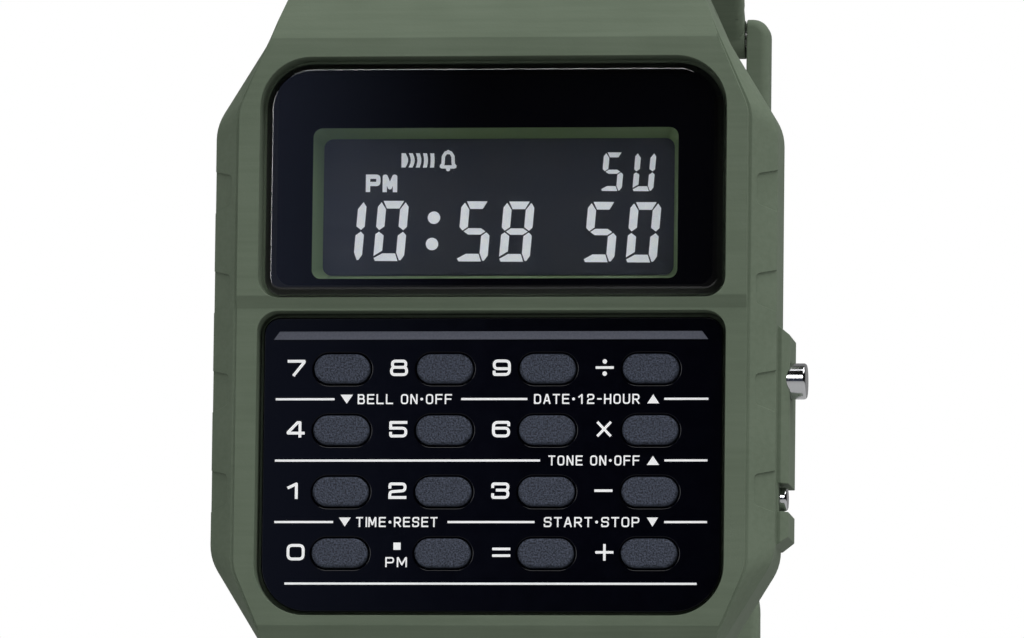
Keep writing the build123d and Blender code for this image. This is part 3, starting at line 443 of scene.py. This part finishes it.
# %% Finishes of the slots
finish_of = {
    "green_resin": "moulded_resin",
    "green_frame": "surround_abs",
    "clear_glass": "clear_acrylic",
    "black_print": "black_film",
    "black_cover": "black_polycarbonate",
    "display_glass": "dark_polariser",
    "grey_print": "grey_ink",
    "key_plastic": "stippled_abs",
    "bright_steel": "polished_steel",
    "case_back_steel": "brushed_steel",
    "bar_steel": "turned_steel",
    "spring_steel": "spring_wire",
    "seal_rubber": "nitrile_rubber",
    "key_silicone": "silicone_rubber",
    "frame_plastic": "black_abs",
    "board": "solder_mask",
    "chip_epoxy": "moulded_epoxy",
    "cell_steel": "nickel_plate",
    "disc_brass": "satin_brass",
}
slots = {part["node"]: part["material_slot"] for part in frame["record"]["subparts"]}
for name, piece in nodes.items():
    piece.data.materials.clear()
    piece.data.materials.append(materials[finish_of[slots[name]]])
print(len(materials), "materials for", len(nodes), "pieces")

# %% [markdown]
# ## Soft edges
# Nothing moulded or stamped has a perfectly sharp edge, and the thin line of light on a
# rounded edge is what makes a render look real. A shader can fake that line, but a
# bevel is a real shape and shows in the outline too. Each piece that shows is copied, its
# flat faces are joined up again, its edges are rounded by a real radius, and the copy
# stands for the construction piece.

# %% Bodies of the nodes
behaviour = frame["record"]["behaviour"]
body_of = {name: body for body, names in behaviour["bodies"].items() for name in names}
print(len(set(body_of.values())), "bodies carry the pieces")

# %% [markdown]
# A pane and its rounded rim share corners. If every face round a corner counted alike in
# its normal, the rim's curve would smear over the pane, so here the largest face leads.
# Large faces that meet at an angle are facets of the mould, and a crease stays between.

# %% Flat faces that shade flat
large_face = 10


def lean_to_large_faces(mesh, smooth_to, crease_from):
    """Corner normals led by the largest face round each corner; angles are in degrees."""
    facing = [face.normal.copy() for face in mesh.polygons]
    areas = [face.area / mm**2 for face in mesh.polygons]
    around = [[] for _ in mesh.vertices]
    for face in mesh.polygons:
        for vertex in face.vertices:
            around[vertex].append(face.index)
    normals = []
    for face in mesh.polygons:
        for vertex in face.vertices:
            total = Vector()
            for other in around[vertex]:
                both_large = min(areas[face.index], areas[other]) > large_face
                limit = crease_from if both_large else smooth_to
                if facing[face.index].angle(facing[other], 0) < radians(limit):
                    total += facing[other] * areas[other] ** 2
            normals.append(total.normalized() if total.length > 0 else facing[face.index])
    mesh.normals_split_custom_set(normals)


# %% [markdown]
# The construction model comes in triangles, so triangles in one plane are joined before
# the bevel runs. The bevel could stay a modifier; here it is applied, so that the normals
# can be set and no corner of the copy reaches outside the piece's own box.

# %% Rounded copies
same_place = 0.001 * mm
same_plane = radians(0.4)
rim_smooth_to = 50


def dressed(name, rounding, sharp_from=30, steps=2, crease_from=30):
    """Replaces a construction piece by a copy with edges rounded by that many millimetres."""
    mesh = nodes[name].data.copy()
    piece = bpy.data.objects.new("dressed_" + name, mesh)
    bpy.context.scene.collection.objects.link(piece)
    work = bmesh.new()
    work.from_mesh(mesh)
    bmesh.ops.remove_doubles(work, verts=work.verts, dist=same_place)
    bmesh.ops.dissolve_limit(work, angle_limit=same_plane, verts=work.verts, edges=work.edges)
    work.to_mesh(mesh)
    work.free()
    mesh.shade_smooth()
    if rounding:
        bevel = piece.modifiers.new("rounded edges", "BEVEL")
        bevel.width = rounding * mm
        bevel.segments = steps
        bevel.limit_method = "ANGLE"
        bevel.angle_limit = radians(sharp_from)
        bevel.use_clamp_overlap = False
    bpy.context.view_layer.update()
    depsgraph = bpy.context.evaluated_depsgraph_get()
    final = bpy.data.meshes.new_from_object(piece.evaluated_get(depsgraph))
    piece.modifiers.clear()
    piece.data = final
    low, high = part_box(name)
    for vertex in final.vertices:
        vertex.co = [max(a, min(b, c)) for a, b, c in zip(low, high, vertex.co)]
    lean_to_large_faces(final, rim_smooth_to if rounding else sharp_from, crease_from)
    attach(piece, body_of[name])
    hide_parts(name)
    print(name, "has", len(final.polygons), "faces")


dressed("case_body", rounding=0.04, sharp_from=11, crease_from=2)
for name in ("strap_long", "keeper", "buckle_frame"):
    dressed(name, rounding=0.08)
for name in ("case_back", "case_back_screws", "buckle_tongue", "buckle_pin"):
    dressed(name, rounding=0.06)
dressed("strap_short", rounding=0.02, sharp_from=50)
dressed("crystal", rounding=0.16, steps=3)
dressed("keypad_panel", rounding=0.1, steps=3)
dressed("panel_stripe", rounding=0.02)
dressed("lcd_frame", rounding=0.04)
for name in nodes:
    if name.startswith("key_") and name != "key_sheet" or name.endswith("_pusher"):
        dressed(name, rounding=0)

# %% [markdown]
# ## Springs
# A pressed button shortens the coil behind it, towards the coil's seat in the case; its
# turns only come closer. The turns could be bent one by one, but they only come closer.
# Each coil is copied here and named after the joint that presses it. The coil in a spring
# bar is pressed from both ends: it is cut in its middle, and each half is a copy of its
# own, named after the joint of its tip.


def pressed_spring(name, joint, seat, side=0):
    """Copy of a coil, or of its half on one side of its seat, named after a joint."""
    mesh = nodes[name].data.copy()
    work = bmesh.new()
    work.from_mesh(mesh)
    bmesh.ops.remove_doubles(work, verts=work.verts, dist=same_place)
    if side:
        everything = [*work.verts, *work.edges, *work.faces]
        bmesh.ops.bisect_plane(
            work, geom=everything, plane_co=(seat, 0, 0), plane_no=(side, 0, 0), clear_inner=True
        )
        rim = [edge for edge in work.edges if edge.is_boundary]
        bmesh.ops.holes_fill(work, edges=rim, sides=0)
    work.to_mesh(mesh)
    work.free()
    mesh.shade_smooth()
    piece = bpy.data.objects.new("pressed_" + joint, mesh)
    bpy.context.scene.collection.objects.link(piece)
    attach(piece, body_of[name])
    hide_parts(name)
    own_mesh(piece)


for button in ("mode", "adjust"):
    coil = button + "_spring"
    pressed_spring(coil, button + "_button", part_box(coil)[0].x)
for end in ("top", "bottom"):
    for side, side_name in ((-1, "left"), (1, "right")):
        pressed_spring("bar_spring_" + end, f"tip_{end}_{side_name}", 0, side)

# %% [markdown]
# ## Flat marks
# Segments, numbers and lines are films of ink and liquid crystal. A picture laid over the
# pane could show them, but it would blur up close; thin plates keep their edges. `plate`
# joins any number of overlapping outlines into one flat shape, gives it a thickness and
# lays it on a pane. Outlines are in millimetres, across and up.

# %% Plates
same_point = 1e-5
mark_plane = radians(0.1)


def plate(name, outlines, height, thickness, material):
    """One thin solid from overlapping outlines, standing on the level at that height."""
    points, faces = [], []
    for corners in outlines:
        area = sum(a[0] * b[1] - b[0] * a[1] for a, b in zip(corners, corners[1:] + corners[:1]))
        ordered = corners if area > 0 else corners[::-1]
        faces.append(list(range(len(points), len(points) + len(ordered))))
        points.extend(Vector(corner) for corner in ordered)
    flat, _, pieces, _, _, origins = delaunay_2d_cdt(points, [], faces, 0, same_point, True)
    kept = [piece for piece, origin in zip(pieces, origins) if origin]
    work = bmesh.new()
    placed = [work.verts.new((p.x * mm, -(height + thickness) * mm, p.y * mm)) for p in flat]
    for piece in kept:
        work.faces.new([placed[i] for i in piece])
    bmesh.ops.delete(work, geom=[v for v in work.verts if not v.link_faces], context="VERTS")
    bmesh.ops.dissolve_limit(work, angle_limit=mark_plane, verts=work.verts, edges=work.edges)
    top = list(work.faces)
    sides = bmesh.ops.extrude_face_region(work, geom=top)
    moved = [item for item in sides["geom"] if isinstance(item, bmesh.types.BMVert)]
    bmesh.ops.translate(work, verts=moved, vec=(0, thickness * mm, 0))
    bmesh.ops.recalc_face_normals(work, faces=work.faces)
    mesh = bpy.data.meshes.new(name)
    work.to_mesh(mesh)
    work.free()
    mesh.materials.append(material)
    made = bpy.data.objects.new(name, mesh)
    bpy.context.scene.collection.objects.link(made)
    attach(made, "watch_case")
    print(name, "has", len(mesh.polygons), "faces")


# %% [markdown]
# ## Display
# The time is shown in seven-segment digits that lean a little to the right. Each
# segment is cut at a slant where it meets the next, with a hair of dark between them.
# A typeface has no such digits, so one is drawn here, in millimetres from its lower left
# corner, and the others are scaled copies that leave segments out.

# %% Segments of a digit
display_level = -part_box("lcd_panel")[0].y / mm
digit_width = 1.85
digit_height = 3.62
digit_lean = tan(radians(4.5))
upright = 0.5
bar = 0.46
middle_bar = 0.38
joint = 0.05
cut = 0.2

w, h, m = digit_width, digit_height, digit_height / 2
left_upper = [
    (0, m + cut + joint),
    (0, h - 0.36),
    (cut, h - 0.08),
    (upright, h - bar - joint),
    (upright, m + cut + 0.07),
    (cut, m + joint),
]
left_lower = [
    (0, m - cut),
    (cut, m - joint),
    (upright, m - cut - 0.07),
    (upright, bar + 0.16),
    (0, 0.3),
]
right_lower = [
    (w, m - cut - joint),
    (w, 0.36),
    (w - cut, 0.05),
    (w - 0.3, 0.05),
    (w - upright, bar + joint),
    (w - upright, m - cut - 0.07),
    (w - cut, m - joint),
]
segments = {
    "top": [(0.31, h), (w - 0.31, h), (w - 0.55, h - bar), (0.55, h - bar)],
    "left_upper": left_upper,
    "right_upper": [(w - x, z) for x, z in left_upper],
    "middle": [
        (0.27, m),
        (0.55, m + middle_bar / 2),
        (w - 0.55, m + middle_bar / 2),
        (w - 0.27, m),
        (w - 0.55, m - middle_bar / 2),
        (0.55, m - middle_bar / 2),
    ],
    "left_lower": left_lower,
    "right_lower": right_lower,
    "bottom": [(0.02, 0.17), (0.12, 0), (w - 0.38, 0), (w - 0.56, bar), (0.52, bar)],
}
uprights = ("left_upper", "left_lower", "right_upper", "right_lower")
shown_segments = {
    "0": uprights + ("top", "bottom"),
    "1": ("right_upper", "right_lower"),
    "5": ("top", "left_upper", "middle", "right_lower", "bottom"),
    "8": uprights + ("top", "middle", "bottom"),
    "U": uprights + ("bottom",),
}
shown_segments["S"] = shown_segments["5"]
print(len(segments), "segments make a digit")


def digit(sign, left, foot, width=digit_width, height=digit_height):
    """Outlines of one digit's segments, with its lower left corner placed."""
    across, up = width / digit_width, height / digit_height
    return [
        [(left + x * across + z * up * digit_lean, foot + z * up) for x, z in segments[part]]
        for part in shown_segments[sign]
    ]


# %% [markdown]
# ## Strokes
# The small signs of the display and everything printed on the keypad are drawn as a
# sign writer would: a stroke of one width along a few points, with rounded turns. A font
# would bring a look of its own; strokes take the width and the rounding of these signs.
# Each is written once, in a box one wide and one high, and scaled to its place.

# %% Stroke outlines
longest_rounding = 0.49
turn_steps = 5
turn_sides = 12
shortest_run = 1e-6


def disc(x, z, radius, sides=20):
    """Round outline."""
    turns = [2 * pi * i / sides for i in range(sides)]
    return [(x + radius * cos(a), z + radius * sin(a)) for a in turns]


def rounded_path(points, radius, closed=False):
    """Points of a path whose turns are rounded by a radius."""
    count = len(points)
    path = []
    for i, here in enumerate(points):
        if not closed and i in (0, count - 1):
            path.append(Vector(here))
            continue
        corner = Vector(here)
        before = Vector(points[i - 1]) - corner
        after = Vector(points[(i + 1) % count]) - corner
        angle = before.angle(after)
        longest = longest_rounding * min(before.length, after.length)
        reach = min(radius / tan(angle / 2), longest)
        first = corner + before.normalized() * reach
        last = corner + after.normalized() * reach
        for step in range(turn_steps + 1):
            share = step / turn_steps
            path.append(first.lerp(corner, share).lerp(corner.lerp(last, share), share))
    return path


def stroke(points, width, radius=0.0, closed=False):
    """Outlines that together cover a stroke: one bar for each run and a disc at each turn."""
    path = rounded_path(points, radius, closed) if radius else [Vector(p) for p in points]
    if not closed:
        path[0] = path[0] + (path[0] - path[1]).normalized() * width / 2
        path[-1] = path[-1] + (path[-1] - path[-2]).normalized() * width / 2
    runs = list(zip(path, path[1:] + path[:1])) if closed else list(zip(path, path[1:]))
    outlines = []
    for start, end in runs:
        run = end - start
        if run.length < shortest_run:
            continue
        side = Vector((-run.y, run.x)).normalized() * width / 2
        outlines.append([tuple(p) for p in (start - side, end - side, end + side, start + side)])
    turns = path if closed else path[1:-1]
    return outlines + [disc(p.x, p.y, width / 2, turn_sides) for p in turns]


# %% [markdown]
# Each sign is a list of strokes; a stroke is a share of rounding, whether it closes on
# itself, and its points. Wide squarish forms with rounded turns suit a keypad.

# %% Signs
box = [(0, 0), (1, 0), (1, 1), (0, 1)]
signs = {
    "0": [(1, True, box)],
    "1": [(0, False, [(0.1, 0.74), (0.6, 1), (0.6, 0)])],
    "2": [
        (1, False, [(0, 0.76), (0, 1), (1, 1), (1, 0.5), (0, 0.42), (0, 0)]),
        (0, False, [(0, 0), (1, 0)]),
    ],
    "3": [
        (1, False, [(0, 0.8), (0, 1), (1, 1), (1, 0.54), (0.3, 0.54)]),
        (1, False, [(0.3, 0.54), (1, 0.54), (1, 0), (0, 0), (0, 0.2)]),
    ],
    "4": [(0, False, [(0.78, 0), (0.78, 1), (0.62, 1), (0, 0.28), (0, 0.22), (1, 0.22)])],
    "5": [
        (0, False, [(1, 1), (0, 1), (0, 0.58)]),
        (1, False, [(0, 0.58), (1, 0.58), (1, 0), (0, 0), (0, 0.2)]),
    ],
    "6": [(1, False, [(1, 0.82), (1, 1), (0, 1), (0, 0), (1, 0), (1, 0.57), (0, 0.57)])],
    "7": [(0, False, [(0, 1), (1, 1), (1, 0.92), (0.35, 0)])],
    "8": [
        (1, True, [(0.06, 0.54), (0.94, 0.54), (0.94, 1), (0.06, 1)]),
        (1, True, [(0, 0), (1, 0), (1, 0.54), (0, 0.54)]),
    ],
    "9": [(1, False, [(0, 0.18), (0, 0), (1, 0), (1, 1), (0, 1), (0, 0.43), (1, 0.43)])],
    "A": [(0, False, [(0, 0), (0.42, 1), (0.58, 1), (1, 0)]), (0, False, [(0.2, 0.3), (0.8, 0.3)])],
    "B": [
        (0.8, True, [(0, 0.53), (0.92, 0.53), (0.92, 1), (0, 1)]),
        (0.8, True, [(0, 0), (1, 0), (1, 0.53), (0, 0.53)]),
        (0, False, [(0, 0), (0, 1)]),
    ],
    "C": [(1, False, [(1, 0.75), (1, 1), (0, 1), (0, 0), (1, 0), (1, 0.25)])],
    "D": [
        (1.2, True, box),
        (0, False, [(0, 0.15), (0, 0), (0.2, 0)]),
        (0, False, [(0, 0.85), (0, 1), (0.2, 1)]),
    ],
    "E": [(0, False, [(1, 1), (0, 1), (0, 0), (1, 0)]), (0, False, [(0, 0.52), (0.9, 0.52)])],
    "F": [(0, False, [(1, 1), (0, 1), (0, 0)]), (0, False, [(0, 0.5), (0.9, 0.5)])],
    "H": [(0, False, [(0, 0), (0, 1)]), (0, False, [(1, 0), (1, 1)]), (0, False, [(0, 0.5), (1, 0.5)])],
    "I": [(0, False, [(0.5, 0), (0.5, 1)])],
    "L": [(0, False, [(0, 1), (0, 0), (1, 0)])],
    "M": [(0, False, [(0, 0), (0, 1), (0.08, 1), (0.5, 0.2), (0.92, 1), (1, 1), (1, 0)])],
    "N": [(0, False, [(0, 0), (0, 1), (0.08, 1), (0.92, 0), (1, 0), (1, 1)])],
    "O": [(1, True, box)],
    "P": [(1, False, [(0, 0.45), (1, 0.45), (1, 1), (0, 1)]), (0, False, [(0, 0), (0, 1)])],
    "R": [
        (1, False, [(0, 0.45), (1, 0.45), (1, 1), (0, 1)]),
        (0, False, [(0, 0), (0, 1)]),
        (0, False, [(0.5, 0.45), (1, 0)]),
    ],
    "S": [(1, False, [(1, 0.8), (1, 1), (0, 1), (0, 0.52), (1, 0.52), (1, 0), (0, 0), (0, 0.2)])],
    "T": [(0, False, [(0, 1), (1, 1)]), (0, False, [(0.5, 0), (0.5, 1)])],
    "U": [(1, False, [(0, 1), (0, 0), (1, 0), (1, 1)])],
    "-": [(0, False, [(0.15, 0.5), (0.85, 0.5)])],
    "minus": [(0, False, [(0, 0.5), (1, 0.5)])],
    "plus": [(0, False, [(0, 0.5), (1, 0.5)]), (0, False, [(0.5, 0), (0.5, 1)])],
    "multiply": [(0, False, [(0.12, 0.05), (0.88, 0.95)]), (0, False, [(0.12, 0.95), (0.88, 0.05)])],
    "equals": [(0, False, [(0, 0.26), (1, 0.26)]), (0, False, [(0, 0.74), (1, 0.74)])],
    "divide": [(0, False, [(0, 0.5), (1, 0.5)])],
}
print(len(signs), "signs are drawn")


def sign(name, left, foot, width, height, line, rounding):
    """Outlines of one sign in a box, with strokes that stay inside the box."""
    outlines = []
    for share, closed, points in signs[name]:
        inner_width, inner_height = width - line, height - line
        placed = [
            (left + line / 2 + x * inner_width, foot + line / 2 + z * inner_height)
            for x, z in points
        ]
        outlines += stroke(placed, line, share * rounding, closed)
    return outlines


# %% [markdown]
# The time and the day are lit in digits of two sizes, with a colon of two dots and a
# small PM over the hours. All of it could be one drawing, but signs with their places
# are shorter to write, and another time needs only the segments of its digits above.

# %% Time and day
digit_pitch, digits_foot = 2.54, 4.98
hours_left, minutes_left, seconds_left = -10.06, -2.5, 5.11
day_left, day_foot = 6.12, 9.26
day_pitch, day_width, day_height = 1.89, 1.25, 2.32
colon_radius, colon_sides = 0.375, 32
colon_places = ((-3.88, 7.6), (-3.98, 6.015))
pm_left, pm_foot = -8.01, 9.125
pm_letter_width, pm_height, pm_line = 0.88, 1.06, 0.26
pm_gap, pm_rounding = 0.13, 0.12

lit = []
for text, left in (("10", hours_left), ("58", minutes_left), ("50", seconds_left)):
    for place, letter in enumerate(text):
        lit += digit(letter, left + place * digit_pitch, digits_foot)
for place, letter in enumerate("SU"):
    lit += digit(letter, day_left + place * day_pitch, day_foot, day_width, day_height)
lit += [disc(x, z, colon_radius, colon_sides) for x, z in colon_places]
for place, letter in enumerate("PM"):
    left = pm_left + place * (pm_letter_width + pm_gap)
    lit += sign(letter, left, pm_foot, pm_letter_width, pm_height, pm_line, pm_rounding)
print(len(lit), "outlines for the time and the day")

# %% [markdown]
# A bell shows that the watch will sound, and five bars stand for the sound; they are
# curved less and less towards the bell, as the segments on the glass are. The display
# glass sits in its frame turned by half a degree, so the whole row of signs slopes that
# much. Turning the finished plate would do the same, but its outlines are at hand here.

# %% Bell and bars
bars_left, bars_foot = -5.88, 10.62
bar_count, bar_pitch, bar_width, bar_height = 5, 0.43, 0.24, 0.86
bar_bulge, bar_steps = 0.16, 8
bell_across, bell_foot, bell_width, bell_height = -3.07, 10.41, 1.10, 1.27
bell_line, bell_rounding = 0.2, 0.08
bell_half = [(0.5, 0.2), (0.34, 0.34), (0.32, 0.7), (0.16, 0.88)]
clapper_lift, clapper_radius = 0.12, 0.13
knob_drop, knob_radius = 0.09, 0.1
glass_turn = 0.0083
turned_about = -1.5
segment_thickness = 0.01

for place in range(bar_count):
    left = bars_left + place * bar_pitch
    bulge = bar_bulge * (1 - place / bar_count)
    # The first bar is flat at its back, the others are hollow as far as they bulge
    hollow = 0 if place == 0 else bulge
    heights = [i / bar_steps for i in range(bar_steps + 1)]
    edge = [(left + bar_width + bulge * sin(pi * i), bars_foot + i * bar_height) for i in heights]
    back = [(left + hollow * sin(pi * i), bars_foot + i * bar_height) for i in heights]
    lit.append(edge + back[::-1])

bell_shares = [(-x, z) for x, z in bell_half] + bell_half[::-1]
bell_reach = bell_width - bell_line
bell = [(bell_across + x * bell_reach, bell_foot + z * bell_height) for x, z in bell_shares]
lit += stroke(bell, bell_line, bell_rounding, closed=True)
lit.append(disc(bell_across, bell_foot + clapper_lift, clapper_radius))
lit.append(disc(bell_across, bell_foot + bell_height - knob_drop, knob_radius))
lit = [[(x, z - glass_turn * (x - turned_about)) for x, z in outline] for outline in lit]
segment_look = materials["lit_segment"]
plate("display_segments", lit, display_level, segment_thickness, segment_look)

# %% [markdown]
# ## Keypad printing
# Each key has its number or sign to its left. On the real keypad one pass of the
# printer's screen leaves them all as a single film of ink. Each sign could be a piece of
# its own, but one plate for all of them is nearer to that and simpler to carry.

# %% Key middles
panel_level = -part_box("keypad_panel")[0].y / mm
rows = (
    ("7", "8", "9", "divide"),
    ("4", "5", "6", "multiply"),
    ("1", "2", "3", "minus"),
    ("0", "point", "equals", "plus"),
)
key_middles = {}
for name in nodes:
    if name.startswith("key_") and name != "key_sheet":
        low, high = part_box(name)
        key_middles[name[4:]] = ((low.x + high.x) / 2 / mm, (low.z + high.z) / 2 / mm)
print(len(key_middles), "keys found")

# %% [markdown]
# The numbers share one width and height, the operator signs have a thinner line, and a
# small square is the decimal point. Fixed places would do, but places counted from each
# key's middle keep a number beside its key.

# %% Numbers and signs
legend_shift, legend_lift, last_row_shift = 2.76, 0.07, 0.1
legend_width, legend_height, legend_line = 1.08, 0.98, 0.17
legend_rounding = 0.26
operator_line = 0.15
dot_radius, dot_heights = 0.135, (0.13, 0.87)
square_shift, square_lift, square_half = 2.74, 0.43, 0.215


def rectangle(left, right, foot, head):
    """Upright outline with four corners."""
    return [(left, foot), (right, foot), (right, head), (left, head)]


legends = []
for row in rows:
    for name in row:
        if name == "point":
            continue
        across, up = key_middles[name]
        left = across - legend_shift - legend_width / 2 + (last_row_shift if row == rows[-1] else 0)
        foot = up + legend_lift - legend_height / 2
        line = operator_line if len(name) > 1 else legend_line
        legends += sign(name, left, foot, legend_width, legend_height, line, legend_rounding)
        if name == "divide":
            middle = left + legend_width / 2
            legends += [disc(middle, foot + z * legend_height, dot_radius) for z in dot_heights]

point_across, point_up = key_middles["point"]
x, z = point_across - square_shift, point_up + square_lift
legends.append(rectangle(x - square_half, x + square_half, z - square_half, z + square_half))
print(len(legends), "outlines for the numbers and signs")

# %% [markdown]
# The lines between the rows carry the second uses of the keys, in plain words that any
# such watch needs. Each word fills the room it has on the pane, so its letters share
# that room: narrow ones take less of it and wide ones more.

# %% Words
word_height, word_line, word_rounding = 0.6, 0.088, 0.14
letter_width, letter_pitch = 0.44, 0.575
word_dot_radius = 0.085
room_shares = {"I": 0.35, " ": 0.6, ".": 0.66, "M": 1.15, "-": 0.8}
arrow_half = 0.27


def words(text, left, foot, right):
    """Outlines of a word written from left to right in the given room."""
    unit = (right - left) / sum(room_shares.get(letter, 1) for letter in text)
    gap = unit * (1 - letter_width / letter_pitch)
    outlines = []
    place = left
    for letter in text:
        room = room_shares.get(letter, 1) * unit
        width = room * letter_width / letter_pitch
        if letter == ".":
            outlines.append(disc(place + (room - gap) / 2, foot + word_height / 2, word_dot_radius))
        elif letter == "I":
            middle = place + width / 2
            low, high = foot + word_line / 2, foot + word_height - word_line / 2
            outlines += stroke([(middle, low), (middle, high)], word_line)
        elif letter != " ":
            outlines += sign(letter, place, foot, width, word_height, word_line, word_rounding)
        place += room
    return outlines


def arrow(left, right, middle, up):
    """Small triangle that points up or down."""
    tip = arrow_half if up else -arrow_half
    return [(left, middle - tip), (right, middle - tip), ((left + right) / 2, middle + tip)]


# %% [markdown]
# Under each row of keys runs a thin line with gaps for the words and for small arrows
# that point at the keys. Each row below holds its lines, its words and its arrows, from
# left to right and each with the room it takes, as they were measured.

# %% Lines between the rows
row_line_down, line_width = 1.8, 0.128
pm_word_left, pm_word_right, pm_word_down = 3.43, 1.95, 0.82
ink_thickness = 0.012
word_rows = {
    0: (
        [(-12.97, -9.44), (-1.85, 2.1), (10.27, 12.9)],
        [("BELL ON.OFF", -8.05, -2.27), ("DATE.12-HOUR", 2.5, 8.93)],
        [(-9.08, -8.33, False), (9.26, 9.97, True)],
    ),
    1: ([(-12.97, 2.91), (10.32, 12.88)], [("TONE ON.OFF", 3.4, 8.97)], [(9.27, 10.0, True)]),
    2: (
        [(-12.95, -9.42), (-2.58, 2.62), (10.34, 12.89)],
        [("TIME.RESET", -8.05, -3.05), ("START.STOP", 3.17, 9.01)],
        [(-9.08, -8.37, False), (9.31, 9.98, False)],
    ),
    3: ([(-12.29, 12.31)], [], []),
}
for row, (lines, texts, arrows) in word_rows.items():
    middle = key_middles[rows[row][0]][1] - row_line_down
    for left, right in lines:
        legends.append(rectangle(left, right, middle - line_width / 2, middle + line_width / 2))
    for text, left, right in texts:
        legends += words(text, left, middle - word_height / 2, right)
    for left, right, up in arrows:
        legends.append(arrow(left, right, middle, up))
word_foot = point_up - pm_word_down
legends += words("PM", point_across - pm_word_left, word_foot, point_across - pm_word_right)
plate("keypad_printing", legends, panel_level, ink_thickness, materials["white_ink"])

# %% [markdown]
# ## Size
# Rounded edges must not make the watch larger or smaller. The eye would miss a tenth of
# a millimetre, so each rounded copy is held inside its construction piece's box when it
# is made.

# %% End
print("the watch is dressed")
